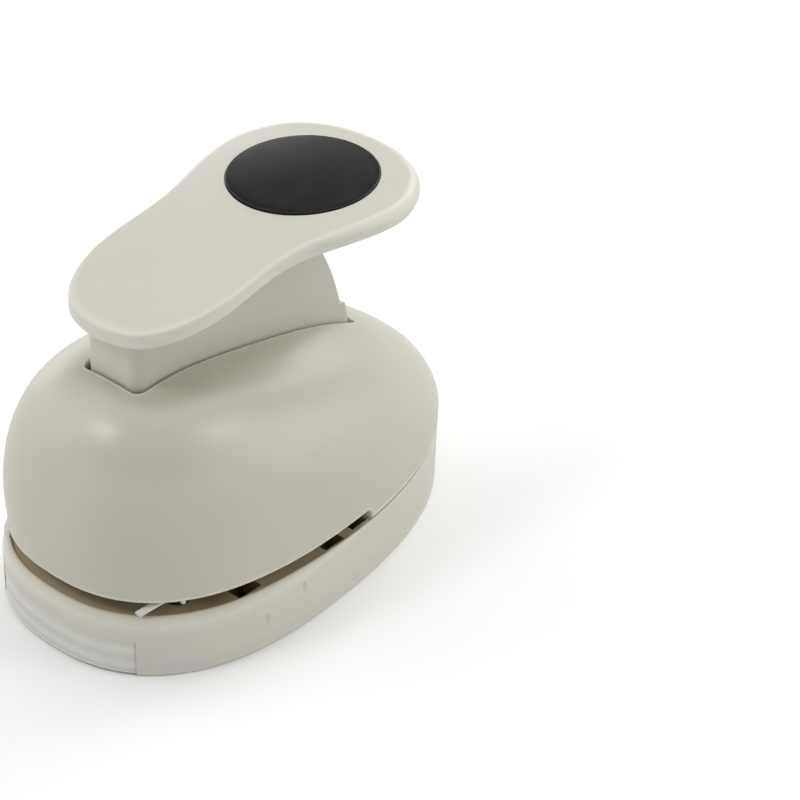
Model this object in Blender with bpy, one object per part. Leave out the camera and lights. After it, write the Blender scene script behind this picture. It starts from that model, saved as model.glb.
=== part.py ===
"""Lever circle punch: every piece its own object, in metres, +Z up.

The origin is the middle of the footprint, on the table. The paper slot and the nose of the chip
tray face -Y, and the thumb pad is at the +Y end.
"""

import math

import bmesh
import bpy
from mathutils import Vector

MM = 0.001

# Shared by all pieces
GAP = 0.3 * MM
SLIDE = 0.3 * MM
WALL = 2.0 * MM
OVERRUN = 4.0 * MM
FAR = 60.0 * MM
ROUND_SEGMENTS = 40
FINE_SEGMENTS = 64
PIN_SEGMENTS = 16
ROUND_STEPS = 4

# Circle that is cut, and the room beside it, which together give the width of the punch
CUT_RADIUS = 12.5 * MM
CUT_Y = -14.0 * MM
POST_CLEARANCE = 3.5 * MM
CARRIER_OVERHANG = 4.0 * MM
SIDE_CLEARANCE = 4.7 * MM
POST_X = CUT_RADIUS + POST_CLEARANCE
CARRIER_HALF_WIDTH = POST_X + CARRIER_OVERHANG

# Footprint, a superellipse that is wider toward the nose
HALF_LENGTH = 42.0 * MM
HALF_WIDTH = CARRIER_HALF_WIDTH + SIDE_CLEARANCE
OUTLINE_POWER = 2.38
EGG_SHARE = -0.15
OUTLINE_SEGMENTS = 64

# Lower shell
DECK = 10.8 * MM
FOOT_ROUND = 0.4 * MM
LEDGE_ROUND = 2.8 * MM
SEAM_ROUND = 0.25 * MM
LEDGE_TAPER = 26.0 * MM
CAVITY_TOP = 6.8 * MM
CELL_SIDE_SHARES = (0.741, 0.879)
CELL_END_SHARES = ((-0.557, -0.436), (-0.112, -0.010), (0.029, 0.107))

# Paper slot
SLOT_HEIGHT = 2.6 * MM
SLOT_TOP = DECK + SLOT_HEIGHT
SLOT_END = 5.8 * MM
SLOT_END_ROUND = 1.6 * MM

# Upper shell
DOME_FOOT = DECK + GAP
DOME_WIDEST = 15.2 * MM
DOME_TOP = 47.2 * MM
DOME_LEAN = -4.6 * MM
DOME_FALL_SHARE = 0.168
DOME_POWER = 3.3
DOME_INSET_SHARE = 0.028
DOME_INSET_TAPER = 30.0 * MM
DOME_ROWS = 13
CAVITY_ROWS = 7
OPENING_HALF_WIDTH = 6.2 * MM
OPENING_FRONT = -27.3 * MM
OPENING_REAR = 21.6 * MM
OPENING_ROUND = 1.7 * MM
OPENING_REAR_ROUND = 0.6 * MM

# Hinge of the lever
HINGE_Y = -22.5 * MM
HINGE_Z = 28.0 * MM
PIN_RADIUS = 1.6 * MM
CHEEK_WALL = 2.8 * MM
CHEEK_AHEAD = 5.0 * MM
CHEEK_BEHIND = 3.6 * MM
CHEEK_BELOW = 4.6 * MM
CHEEK_INNER = OPENING_HALF_WIDTH + GAP
CHEEK_OUTER = CHEEK_INNER + CHEEK_WALL
PIN_TAIL = 2.2 * MM
PIN_HALF_LENGTH = CHEEK_OUTER + PIN_TAIL
CLIP_WALL = 0.6 * MM
CLIP_GROOVE = 0.5 * MM
CLIP_SHARE = 2.0
CLIP_RADIUS = PIN_RADIUS * CLIP_SHARE
CLIP_MOUTH_SHARE = 0.8

# Lever plate: its places are shares of its length from front to rear, and of its half width
PLATE_FRONT = -29.7 * MM
PLATE_REAR = 31.5 * MM
PLATE_HALF_WIDTH = 18.4 * MM
PLATE_OUTLINE_SHARES = (
    (0.000, 0.000),
    (0.007, 0.200),
    (0.023, 0.375),
    (0.046, 0.480),
    (0.078, 0.578),
    (0.126, 0.664),
    (0.175, 0.717),
    (0.224, 0.744),
    (0.273, 0.747),
    (0.322, 0.739),
    (0.371, 0.729),
    (0.420, 0.731),
    (0.469, 0.753),
    (0.518, 0.799),
    (0.567, 0.856),
    (0.616, 0.910),
    (0.665, 0.957),
    (0.714, 0.989),
    (0.763, 1.000),
    (0.812, 0.973),
    (0.861, 0.908),
    (0.904, 0.820),
    (0.948, 0.652),
    (0.979, 0.441),
    (0.995, 0.226),
    (1.000, 0.000),
)
PLATE_MIDDLE_Y = 15.0 * MM
PLATE_MIDDLE_Z = 61.0 * MM
PLATE_SLOPE_SHARE = 0.0717
PLATE_DROOP_SHARE = 0.108
PLATE_CROWN = 0.65 * MM
PLATE_CROWN_POWER = 4
PLATE_THICKNESS = 2.5 * MM
PLATE_ROUND = 0.7 * MM
PLATE_RING_SHARES = (0.72, 0.4)

# Stem of the lever
STEM_SIDE_GAP = 0.35 * MM
STEM_FRONT_GAP = 0.4 * MM
STEM_HALF_WIDTH = OPENING_HALF_WIDTH - STEM_SIDE_GAP
STEM_FRONT = OPENING_FRONT + STEM_FRONT_GAP
STEM_ROUND = 2.3 * MM
STEM_WALL = 1.6 * MM
STEM_REACH = 42.2 * MM
STEM_FOOT = 31.0 * MM
STEM_SINK = 1.4 * MM
STEM_TOP_DROP = 3.0 * MM
STEM_STEPS = 8
HEEL_REACH = 1.1 * MM
HEEL_TOP = 38.0 * MM
HEEL_SLOPE = 0.6 * MM
LIP_REACH = 3.4 * MM
LIP_WALL = 1.6 * MM
BOSS_RADIUS = 3.4 * MM
BOSS_CORE_SHARE = 0.88
NOTCH_BACK = 2.9 * MM
SKIRT_RUN = 1.6 * MM
SKIRT_RISE = 2.0 * MM

# Thumb pad
PAD_RADIUS = 12.4 * MM
PAD_DEPTH = 0.9 * MM
PAD_RISE = 0.15 * MM
PAD_SOFT_SHARE = 1.5
PAD_WALL = PAD_DEPTH + PAD_RISE - GAP

# Press roller, placed from the hinge
ROLLER_BEHIND = 10.2 * MM
ROLLER_ABOVE = 2.6 * MM
ROLLER_Y = HINGE_Y + ROLLER_BEHIND
ROLLER_Z = HINGE_Z + ROLLER_ABOVE
ROLLER_RADIUS = 2.3 * MM
ROLLER_SEGMENTS = 24
ROLLER_PIN_RADIUS = 1.0 * MM
ROLLER_BOTTOM = ROLLER_Z - ROLLER_RADIUS
SKIRT_ABOVE = 0.7 * MM
SKIRT = ROLLER_BOTTOM + SKIRT_ABOVE

# Cutter and die
DIE_RADIUS = CUT_RADIUS + GAP
CHIP_CLEARANCE = 0.8 * MM
CHIP_RADIUS = DIE_RADIUS + CHIP_CLEARANCE
CUTTER_REST = 0.5 * MM
CUTTER_FOOT = SLOT_TOP + CUTTER_REST
CUTTER_HEIGHT = 7.8 * MM
CUTTER_TOP = CUTTER_FOOT + CUTTER_HEIGHT
CUTTER_DISH = 0.6 * MM
DISH_SHARES = (0.5, 0.7)
DIE_WALL = 1.6 * MM
DIE_TOP = DECK
DIE_FOOT = DIE_TOP - DIE_WALL
DIE_SIDE_MARGIN = 4.5 * MM
DIE_FRONT_MARGIN = 4.0 * MM
DIE_REAR_MARGIN = 5.5 * MM
DIE_HALF_WIDTH = CUT_RADIUS + DIE_SIDE_MARGIN
DIE_FRONT = CUT_Y - CUT_RADIUS - DIE_FRONT_MARGIN
DIE_REAR = CUT_Y + CUT_RADIUS + DIE_REAR_MARGIN
DIE_ROUND = 2.0 * MM

# Guide plate over the slot, in shares of the footprint
GUIDE_FOOT = SLOT_TOP + GAP
GUIDE_WALL = 1.6 * MM
GUIDE_TOP = GUIDE_FOOT + GUIDE_WALL
GUIDE_OUTLINE_SHARES = (
    (-0.567, -0.795),
    (0.567, -0.795),
    (0.769, -0.607),
    (0.793, 0.248),
    (-0.793, 0.248),
    (-0.769, -0.607),
)

# Carrier, posts and springs
CARRIER_AHEAD = 4.2 * MM
CARRIER_BEHIND = 5.8 * MM
CARRIER_FRONT = CUT_Y - CARRIER_AHEAD
CARRIER_REAR = CUT_Y + CARRIER_BEHIND
CARRIER_FOOT = CUTTER_TOP + GAP
CARRIER_ROUND = 3.0 * MM
ANVIL_RISE = 1.2 * MM
ANVIL_AHEAD = 2.4 * MM
ANVIL_BEHIND = 2.6 * MM
ANVIL_TOP = ROLLER_BOTTOM - GAP
CARRIER_TOP = ANVIL_TOP - ANVIL_RISE
ANVIL_HALF_WIDTH = STEM_HALF_WIDTH - STEM_WALL - GAP
POST_BEHIND = 0.8 * MM
POST_Y = CUT_Y + POST_BEHIND
POST_RADIUS = 1.6 * MM
POST_RISE = 3.4 * MM
POST_TOP = CARRIER_TOP + POST_RISE
POST_STEP = 0.4 * MM
POST_FOOT_RADIUS = POST_RADIUS - POST_STEP
POST_TIP_SHARE = 0.5
SPRING_RADIUS = 2.75 * MM
SPRING_WIRE = 0.4 * MM
SPRING_CURLS = 6
SPRING_POINTS = 9
POCKET_CLEARANCE = 0.4 * MM
POCKET_ROOF = 1.0 * MM
POCKET_RADIUS = SPRING_RADIUS + SPRING_WIRE + POCKET_CLEARANCE
POCKET_TOP = CARRIER_TOP - POCKET_ROOF

# Spacer at the back of the slot
SPACER_MARGIN = 3.5 * MM
SPACER_HALF_WIDTH = CUT_RADIUS + SPACER_MARGIN
SPACER_AHEAD = 0.4 * MM
SPACER_FRONT = SLOT_END - SPACER_AHEAD
SPACER_DEPTH = 5.2 * MM

# Screws
SMALL_HEAD = 2.1 * MM
SMALL_HEAD_HEIGHT = 1.3 * MM
SMALL_SHANK = 1.0 * MM
SOCKET_WIDTH = 0.7 * MM
SOCKET_DEPTH = 0.5 * MM
CROWN_SHARES = (0.75, 0.6)
SOCKET_SHARE = 0.62
TIP_SHARE = 0.6
FRAME_SCREW_INSET = 4.0 * MM
FRAME_SCREW_X = SPACER_HALF_WIDTH - FRAME_SCREW_INSET
FRAME_SCREW_Y = SPACER_FRONT + SPACER_DEPTH / 2
FRAME_SCREW_RISE = 0.6 * MM
FRAME_SCREW_FOOT = CAVITY_TOP + FRAME_SCREW_RISE
DIE_SCREW_SIDE_INSET = 3.0 * MM
DIE_SCREW_END_INSET = 2.8 * MM
DIE_SCREW_X = DIE_HALF_WIDTH - DIE_SCREW_SIDE_INSET
DIE_SCREW_FRONT = DIE_FRONT + DIE_SCREW_END_INSET
DIE_SCREW_REAR = DIE_REAR - DIE_SCREW_END_INSET
CUTTER_SCREW_SHARE = 0.608
CUTTER_SCREW_X = CUT_RADIUS * CUTTER_SCREW_SHARE
CUTTER_SCREW_Y = POST_Y
CUTTER_SCREW_LENGTH = 5.4 * MM
CUTTER_HEAD_SHARE = 0.85
HOUSING_HEAD = 2.5 * MM
HOUSING_HEAD_HEIGHT = 1.8 * MM
HOUSING_SHANK = 1.25 * MM
HOUSING_SEAT = 3.4 * MM
HOUSING_REACH = 8.0 * MM
HOUSING_TOP = DECK + HOUSING_REACH
HOUSING_X = 13.0 * MM
HOUSING_SIDE_Y = 19.5 * MM
HOUSING_REAR_Y = 32.5 * MM
COLUMN_RADIUS = 3.7 * MM

# Chip tray
TRAY_MARGIN = 2.6 * MM
TRAY_HALF_WIDTH = CUT_RADIUS + TRAY_MARGIN
TRAY_MOUTH = TRAY_HALF_WIDTH + GAP
TRAY_WALL = 1.4 * MM
TRAY_FLOOR = 1.0 * MM
RUNNER_TOP = 1.4 * MM
RUNNER_WIDTH = 3.2 * MM
TRAY_FOOT = RUNNER_TOP + GAP
TRAY_CLEARANCE = 0.4 * MM
TRAY_TOP = CAVITY_TOP - TRAY_CLEARANCE
TRAY_MOUTH_TOP = TRAY_TOP + GAP
TRAY_REAR = 13.4 * MM
TRAY_LIP_FOOT = 0.3 * MM
TRAY_LIP_WALL = 2.2 * MM
TRAY_INSET = 0.25 * MM
TRAY_RIDGE = 0.3 * MM
TRAY_RIDGES = 3
TRAY_RIDGE_SHARES = (0.25, 0.75)
MOUTH_DEPTH = 8.0 * MM
MOUTH_REAR = MOUTH_DEPTH - HALF_LENGTH
LIP_DEPTH = 6.0 * MM
LIP_BACK = LIP_DEPTH - HALF_LENGTH
RIB_WALL = 1.4 * MM
RIB_OFFSET = 0.15 * MM
RIB_INNER = TRAY_MOUTH + RIB_OFFSET
RIB_FOOT = 0.4 * MM

# Paper fingers under the rim: across, along and down from the slot's top, each as a share
FINGER_WIDTH = 1.3 * MM
FINGER_WALL = 0.5 * MM
FINGER_PATH_SHARES = ((0.668, -0.633, 0.115), (0.640, -0.800, 0.173), (0.583, -0.874, 0.731))

# Colour, roughness and metallic of each material
PAINTS = {
    "shell_plastic": ((0.60, 0.58, 0.50), 0.42, 0.0),
    "lever_plastic": ((0.66, 0.64, 0.56), 0.42, 0.0),
    "tray_plastic": ((0.66, 0.67, 0.65), 0.35, 0.0),
    "pad_rubber": ((0.03, 0.03, 0.03), 0.55, 0.0),
    "tool_steel": ((0.62, 0.63, 0.64), 0.28, 1.0),
    "zinc_steel": ((0.70, 0.71, 0.70), 0.35, 1.0),
    "spring_steel": ((0.50, 0.51, 0.52), 0.30, 1.0),
    "carrier_nylon": ((0.78, 0.77, 0.72), 0.50, 0.0),
}


def clear_scene():
    for thing in list(bpy.data.objects):
        bpy.data.objects.remove(thing, do_unlink=True)


def paint(name):
    found = bpy.data.materials.get(name)
    if found:
        return found
    colour, roughness, metallic = PAINTS[name]
    made = bpy.data.materials.new(name)
    made.use_nodes = True
    shader = made.node_tree.nodes["Principled BSDF"]
    shader.inputs["Base Color"].default_value = (*colour, 1.0)
    shader.inputs["Roughness"].default_value = roughness
    shader.inputs["Metallic"].default_value = metallic
    made.diffuse_color = (*colour, 1.0)
    return made


def add_object(name, points, faces, material=None, smooth=False):
    mesh = bpy.data.meshes.new(name)
    mesh.from_pydata([tuple(p) for p in points], [], faces)
    shape = bmesh.new()
    shape.from_mesh(mesh)
    bmesh.ops.recalc_face_normals(shape, faces=shape.faces)
    shape.to_mesh(mesh)
    shape.free()
    thing = bpy.data.objects.new(name, mesh)
    bpy.context.scene.collection.objects.link(thing)
    if material:
        mesh.materials.append(paint(material))
    if smooth:
        mesh.shade_smooth()
    return thing


def as_helper(thing):
    thing.hide_render = True
    thing.display_type = "WIRE"
    return thing


def combine(thing, other, operation):
    """Joins, cuts or crosses thing with a hidden helper."""
    change = thing.modifiers.new(other.name, "BOOLEAN")
    change.operation = operation
    change.solver = "EXACT"
    change.object = as_helper(other)
    return thing


def cut(thing, *others):
    """Cuts hidden helpers from thing, all in one step of its own collection."""
    name = thing.name + "_cutters"
    group = bpy.data.collections.get(name)
    if not group:
        group = bpy.data.collections.new(name)
        bpy.context.scene.collection.children.link(group)
        change = thing.modifiers.new(name, "BOOLEAN")
        change.operation = "DIFFERENCE"
        change.solver = "EXACT"
        change.operand_type = "COLLECTION"
        change.collection = group
    for other in others:
        bpy.context.scene.collection.objects.unlink(as_helper(other))
        group.objects.link(other)
    return thing


def join(thing, *others):
    for other in others:
        combine(thing, other, "UNION")
    return thing


def loft(name, rings, material=None, smooth=False):
    """Closed skin through rings of equal length; a ring of one point closes an end."""
    points = [point for ring in rings for point in ring]
    starts = []
    count = 0
    for ring in rings:
        starts.append(count)
        count += len(ring)
    faces = []
    for row in range(len(rings) - 1):
        low, high = rings[row], rings[row + 1]
        size = max(len(low), len(high))
        for i in range(size):
            j = (i + 1) % size
            a, b = starts[row], starts[row + 1]
            if len(low) == 1:
                faces.append((a, b + j, b + i))
            elif len(high) == 1:
                faces.append((a + i, a + j, b))
            else:
                faces.append((a + i, a + j, b + j, b + i))
    for row in (0, len(rings) - 1):
        if len(rings[row]) > 1:
            faces.append(tuple(starts[row] + i for i in range(len(rings[row]))))
    return add_object(name, points, faces, material, smooth)


def box(name, low, high, material=None):
    """Box between two corners."""
    rings = []
    for z in (low[2], high[2]):
        corners = ((low[0], low[1]), (high[0], low[1]), (high[0], high[1]), (low[0], high[1]))
        rings.append([(x, y, z) for x, y in corners])
    return loft(name, rings, material)


def prism_z(name, outline, low, high, material=None):
    rings = [[(x, y, z) for x, y in outline] for z in (low, high)]
    return loft(name, rings, material)


def prism_x(name, outline, half_width, material=None):
    """Prism along X of an outline in (y, z)."""
    rings = [[(x, y, z) for y, z in outline] for x in (-half_width, half_width)]
    return loft(name, rings, material)


def turned(name, profile, centre=(0.0, 0.0), segments=ROUND_SEGMENTS, material=None):
    """Solid of revolution from (radius, z) pairs, its own axis standing on centre."""
    rings = []
    for radius, z in profile:
        if radius <= 0:
            rings.append([(0.0, 0.0, z)])
            continue
        ring = []
        for i in range(segments):
            angle = 2 * math.pi * i / segments
            ring.append((radius * math.cos(angle), radius * math.sin(angle), z))
        rings.append(ring)
    thing = loft(name, rings, material, smooth=bool(material))
    thing.location = (centre[0], centre[1], 0.0)
    return thing


def turned_x(name, profile, y, z, segments=PIN_SEGMENTS, material=None):
    """Solid of revolution from (x, radius) pairs, its own axis along X through (y, z)."""
    rings = []
    for x, radius in profile:
        ring = []
        for i in range(segments):
            angle = 2 * math.pi * i / segments
            ring.append((x, radius * math.cos(angle), radius * math.sin(angle)))
        rings.append(ring)
    thing = loft(name, rings, material, smooth=bool(material))
    thing.location = (0.0, y, z)
    return thing


def rod_x(name, radius, low, high, y, z, segments=PIN_SEGMENTS, material=None):
    """Round bar along X."""
    return turned_x(name, ((low, radius), (high, radius)), y, z, segments, material)


def rounded_box_outline(x_half, front, rear, radius, rear_radius=None, steps=ROUND_STEPS):
    """Rectangle in (x, y) with rounded corners; the rear pair may have its own radius."""
    back = radius if rear_radius is None else rear_radius
    corners = (
        (x_half - back, rear - back, back, 0.0),
        (-x_half + back, rear - back, back, 0.25),
        (-x_half + radius, front + radius, radius, 0.5),
        (x_half - radius, front + radius, radius, 0.75),
    )
    outline = []
    for x, y, radius, start in corners:
        for i in range(steps + 1):
            angle = 2 * math.pi * (start + 0.25 * i / steps)
            outline.append((x + radius * math.cos(angle), y + radius * math.sin(angle)))
    return outline


def smooth_step(value):
    value = min(1.0, max(0.0, value))
    return value * value * (3 - 2 * value)


def outline_point(turn, half_width, half_length):
    """Point of the egg-shaped superellipse at this share of a full turn."""
    angle = 2 * math.pi * turn
    power = 2 / OUTLINE_POWER
    c, s = math.cos(angle), math.sin(angle)
    across = math.copysign(abs(c) ** power, c)
    along = math.copysign(abs(s) ** power, s)
    return across * half_width * (1 + EGG_SHARE * along), along * half_length


def outline_ring(inset, z, segments=OUTLINE_SEGMENTS):
    """Footprint drawn in by inset; inset and z may depend on y."""
    ring = []
    for i in range(segments):
        x, y = outline_point(i / segments, HALF_WIDTH, HALF_LENGTH)
        reach = math.hypot(x, y)
        share = 1 - (inset(y) if callable(inset) else inset) / reach
        ring.append((x * share, y * share, z(y) if callable(z) else z))
    return ring


def ledge_round(y):
    """Edge radius of the deck: wide at the nose, almost none behind the slot."""
    share = smooth_step((SLOT_END - y) / LEDGE_TAPER)
    return SEAM_ROUND + (LEDGE_ROUND - SEAM_ROUND) * share


def base_skin(name, material=None):
    rings = []
    for i in range(ROUND_STEPS + 1):
        angle = math.pi / 2 * i / ROUND_STEPS
        inset = FOOT_ROUND * (1 - math.sin(angle))
        rings.append(outline_ring(inset, FOOT_ROUND * (1 - math.cos(angle))))
    for i in range(ROUND_STEPS + 1):
        angle = math.pi / 2 * i / ROUND_STEPS
        drop, bend = 1 - math.sin(angle), 1 - math.cos(angle)
        rings.append(
            outline_ring(
                lambda y: ledge_round(y) * bend,
                lambda y: DECK - ledge_round(y) * drop,
            )
        )
    return loft(name, rings, material, smooth=bool(material))


def housing_spots():
    return ((-HOUSING_X, HOUSING_SIDE_Y), (HOUSING_X, HOUSING_SIDE_Y), (0.0, HOUSING_REAR_Y))


def frame_spots():
    return ((-FRAME_SCREW_X, FRAME_SCREW_Y), (FRAME_SCREW_X, FRAME_SCREW_Y))


def die_spots():
    return tuple((x, y) for y in (DIE_SCREW_FRONT, DIE_SCREW_REAR) for x in (-DIE_SCREW_X, DIE_SCREW_X))


def hole(name, radius, spot, low, high, segments=PIN_SEGMENTS):
    return turned(name, ((0.0, low), (radius, low), (radius, high), (0.0, high)), spot, segments)


def stepped_hole(name, spot, wide, narrow, low, step, high):
    """Wide bore up to the step, narrow bore beyond it; low and high are its open ends."""
    profile = ((0.0, low), (wide, low), (wide, step), (narrow, step), (narrow, high), (0.0, high))
    return turned(name, profile, spot, PIN_SEGMENTS)


def make_base():
    """Lower shell: deck with the die recess, open underside, rails for the tray."""
    base = base_skin("base_shell", "shell_plastic")
    cavity = loft("base_cavity", [outline_ring(WALL, -OVERRUN), outline_ring(WALL, CAVITY_TOP)])
    rib_outer = RIB_INNER + RIB_WALL
    for side in (-1, 1):
        low, high = sorted((side * RIB_INNER, side * rib_outer))
        rib = box("base_rib", (low, -FAR, RIB_FOOT), (high, TRAY_REAR + RIB_WALL, DECK))
        low, high = sorted((side * (TRAY_MOUTH - RUNNER_WIDTH), side * rib_outer))
        runner = box("base_runner", (low, -FAR, RIB_FOOT), (high, TRAY_REAR + GAP, RUNNER_TOP))
        cut(cavity, rib, runner)
    stop_low = (-rib_outer, TRAY_REAR + GAP, RIB_FOOT)
    stop = box("base_stop", stop_low, (rib_outer, TRAY_REAR + RIB_WALL + GAP, DECK))
    cut(cavity, stop)
    for spot in housing_spots():
        cut(cavity, hole("base_column", COLUMN_RADIUS, spot, RIB_FOOT, DECK))
    cut(base, cavity)
    mouth_low = (-TRAY_MOUTH, -FAR, -OVERRUN)
    cut(base, box("base_mouth", mouth_low, (TRAY_MOUTH, MOUTH_REAR, TRAY_MOUTH_TOP)))
    recess = rounded_box_outline(DIE_HALF_WIDTH + GAP, DIE_FRONT - GAP, DIE_REAR + GAP, DIE_ROUND)
    cut(base, prism_z("die_recess", recess, DIE_FOOT - GAP, DECK + OVERRUN))
    cut(base, hole("chip_hole", CHIP_RADIUS, (0.0, CUT_Y), CAVITY_TOP - GAP, FAR, ROUND_SEGMENTS))
    for side in (-1, 1):
        low, high = sorted(side * HALF_WIDTH * share for share in CELL_SIDE_SHARES)
        for front, rear in CELL_END_SHARES:
            corner = (low, HALF_LENGTH * front, CAVITY_TOP - GAP)
            cut(base, box("deck_cell", corner, (high, HALF_LENGTH * rear, FAR)))
    for spot in housing_spots():
        wide, narrow = HOUSING_HEAD + GAP, HOUSING_SHANK + GAP
        ends = (-OVERRUN, HOUSING_SEAT, DECK + OVERRUN)
        cut(base, stepped_hole("housing_hole", spot, wide, narrow, *ends))
    for spot in frame_spots() + die_spots():
        cut(base, hole("deck_hole", SMALL_SHANK + GAP, spot, CAVITY_TOP - OVERRUN, DECK + OVERRUN))
    return base


def dome_rings(shrink, rows):
    """Upper shell skin, drawn in by shrink on every side."""
    rings = []
    half_width, half_length = HALF_WIDTH - shrink, HALF_LENGTH - shrink
    top = DOME_TOP - shrink
    heights = [(DOME_FOOT - (OVERRUN if shrink else 0), 0.0), (DOME_WIDEST, 0.0)]
    heights += [(None, math.sin(math.pi / 2 * i / rows)) for i in range(1, rows + 1)]
    for z, rise in heights:
        share = (1 - rise**2) ** (1 / DOME_POWER)
        level = z if z is not None else DOME_WIDEST + (top - DOME_WIDEST) * rise
        ring = []
        for i in range(OUTLINE_SEGMENTS):
            x, y = outline_point(i / OUTLINE_SEGMENTS, half_width, half_length)
            inset = 1 - DOME_INSET_SHARE * smooth_step((SLOT_END - y) / DOME_INSET_TAPER)
            x, y = x * share * inset, y * share * inset + DOME_LEAN * rise
            ring.append((x, y, level - DOME_FALL_SHARE * rise * (y + HALF_LENGTH)))
        rings.append(ring if share > 0.0001 else ring[:1])
    return rings


def make_dome():
    """Upper shell with the lever opening, hinge cheeks and screw bosses."""
    dome = loft("upper_shell", dome_rings(0.0, DOME_ROWS), "shell_plastic", smooth=True)
    cavity = loft("dome_cavity", dome_rings(WALL, CAVITY_ROWS))
    for side in (-1, 1):
        low, high = sorted((side * CHEEK_INNER, side * CHEEK_OUTER))
        corner = (low, HINGE_Y - CHEEK_AHEAD, HINGE_Z - CHEEK_BELOW)
        cut(cavity, box("hinge_cheek", corner, (high, HINGE_Y + CHEEK_BEHIND, FAR)))
    for spot in housing_spots():
        cut(cavity, hole("dome_boss", COLUMN_RADIUS, spot, DOME_FOOT, FAR))
    cut(dome, cavity)
    ends = (OPENING_FRONT, OPENING_REAR, OPENING_ROUND, OPENING_REAR_ROUND)
    opening = rounded_box_outline(OPENING_HALF_WIDTH, *ends)
    cut(dome, prism_z("stem_opening", opening, HINGE_Z - OVERRUN, FAR))
    slot = [(-FAR, DECK - OVERRUN), (SLOT_END, DECK - OVERRUN)]
    for i in range(ROUND_STEPS + 1):
        angle = math.pi / 2 * i / ROUND_STEPS
        y = SLOT_END - SLOT_END_ROUND * (1 - math.cos(angle))
        slot.append((y, SLOT_TOP - SLOT_END_ROUND * (1 - math.sin(angle))))
    slot.append((-FAR, SLOT_TOP))
    cut(dome, prism_x("paper_slot", slot, FAR))
    reach = CHEEK_OUTER + OVERRUN
    cut(dome, rod_x("hinge_hole", PIN_RADIUS + GAP, -reach, reach, HINGE_Y, HINGE_Z))
    for spot in housing_spots():
        cut(dome, hole("boss_hole", HOUSING_SHANK + GAP, spot, 0.0, HOUSING_TOP + GAP))
    return dome


def plate_height(x, y):
    """Top of the lever plate: straight at the pad, drooping toward the nose, crowned across."""
    past = min(0.0, y - PLATE_MIDDLE_Y)
    droop = PLATE_DROOP_SHARE * past**2 / HALF_LENGTH
    crown = PLATE_CROWN * abs(x / PLATE_HALF_WIDTH) ** PLATE_CROWN_POWER
    return PLATE_MIDDLE_Z + PLATE_SLOPE_SHARE * (y - PLATE_MIDDLE_Y) - droop - crown


def plate_outline():
    """Closed outline in (x, y), counterclockwise, with the normal at each point."""
    right = []
    for along, across in PLATE_OUTLINE_SHARES:
        right.append((PLATE_HALF_WIDTH * across, PLATE_FRONT + (PLATE_REAR - PLATE_FRONT) * along))
    left = [(-x, y) for x, y in reversed(right[1:-1])]
    ring = right + left
    count = len(ring)
    smooth = []
    for i in range(count):
        p0, p1, p2, p3 = (Vector(ring[(i + k) % count]) for k in (-1, 0, 1, 2))
        smooth.append(p1)
        smooth.append((9 * (p1 + p2) - p0 - p3) / 16)
    normals = []
    for i, point in enumerate(smooth):
        step = smooth[(i + 1) % len(smooth)] - smooth[i - 1]
        normals.append(Vector((step.y, -step.x)).normalized())
    return smooth, normals


def make_lever_plate():
    points, normals = plate_outline()

    def ring(inset, share, drop):
        made = []
        for point, normal in zip(points, normals):
            spot = (point - normal * inset) * share
            made.append((spot.x, spot.y, plate_height(spot.x, spot.y) - drop))
        return made

    rings = [[(0.0, 0.0, plate_height(0.0, 0.0) - PLATE_THICKNESS)]]
    for share in reversed(PLATE_RING_SHARES):
        rings.append(ring(PLATE_ROUND, share, PLATE_THICKNESS))
    for low in (True, False):
        for i in range(ROUND_STEPS):
            angle = math.pi / 2 * i / (ROUND_STEPS - 1)
            a = angle if low else math.pi / 2 - angle
            drop = PLATE_ROUND * (1 - math.cos(a))
            drop = PLATE_THICKNESS - drop if low else drop
            rings.append(ring(PLATE_ROUND * (1 - math.sin(a)), 1.0, drop))
    for share in PLATE_RING_SHARES:
        rings.append(ring(PLATE_ROUND, share, 0.0))
    rings.append([(0.0, 0.0, plate_height(0.0, 0.0))])
    return loft("lever", rings, "lever_plastic", smooth=True)


def reach_point(reach, z):
    """Point of a circle about the hinge at this height, on its rear side."""
    return (HINGE_Y + math.sqrt(reach**2 - (z - HINGE_Z) ** 2), z)


def stem_profile(inset):
    """Side view of the stem in (y, z), drawn in by inset except at its open foot."""
    reach = STEM_REACH - inset
    bottom = -OVERRUN if inset else 0.0
    foot = STEM_FOOT + bottom
    profile = [
        (STEM_FRONT + inset, HINGE_Z - BOSS_RADIUS + bottom),
        (HINGE_Y + NOTCH_BACK, HINGE_Z - BOSS_RADIUS + bottom),
        (HINGE_Y + BOSS_RADIUS + GAP, SKIRT - SKIRT_RISE + bottom),
        (HINGE_Y + BOSS_RADIUS + SKIRT_RUN, SKIRT + bottom),
        (CARRIER_REAR, SKIRT + bottom),
    ]
    if inset:
        profile.append(reach_point(reach, foot))
        low = foot
    else:
        heel = reach + HEEL_REACH
        profile.append(reach_point(heel, foot))
        profile.append(reach_point(heel, (foot + HEEL_TOP) / 2))
        profile.append(reach_point(heel, HEEL_TOP))
        low = HEEL_TOP + HEEL_SLOPE
        profile.append(reach_point(reach, low))
    top = []
    start = STEM_FRONT + inset
    stop = reach_point(reach, PLATE_MIDDLE_Z - STEM_TOP_DROP)[0]
    for i in range(STEM_STEPS + 1):
        y = start + (stop - start) * i / STEM_STEPS
        top.append((y, plate_height(0.0, y) - STEM_SINK - inset))
    arc = []
    high = top[-1][1]
    for i in range(1, STEM_STEPS):
        arc.append(reach_point(reach, low + (high - low) * i / STEM_STEPS))
    return profile + arc + top[::-1]


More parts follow.
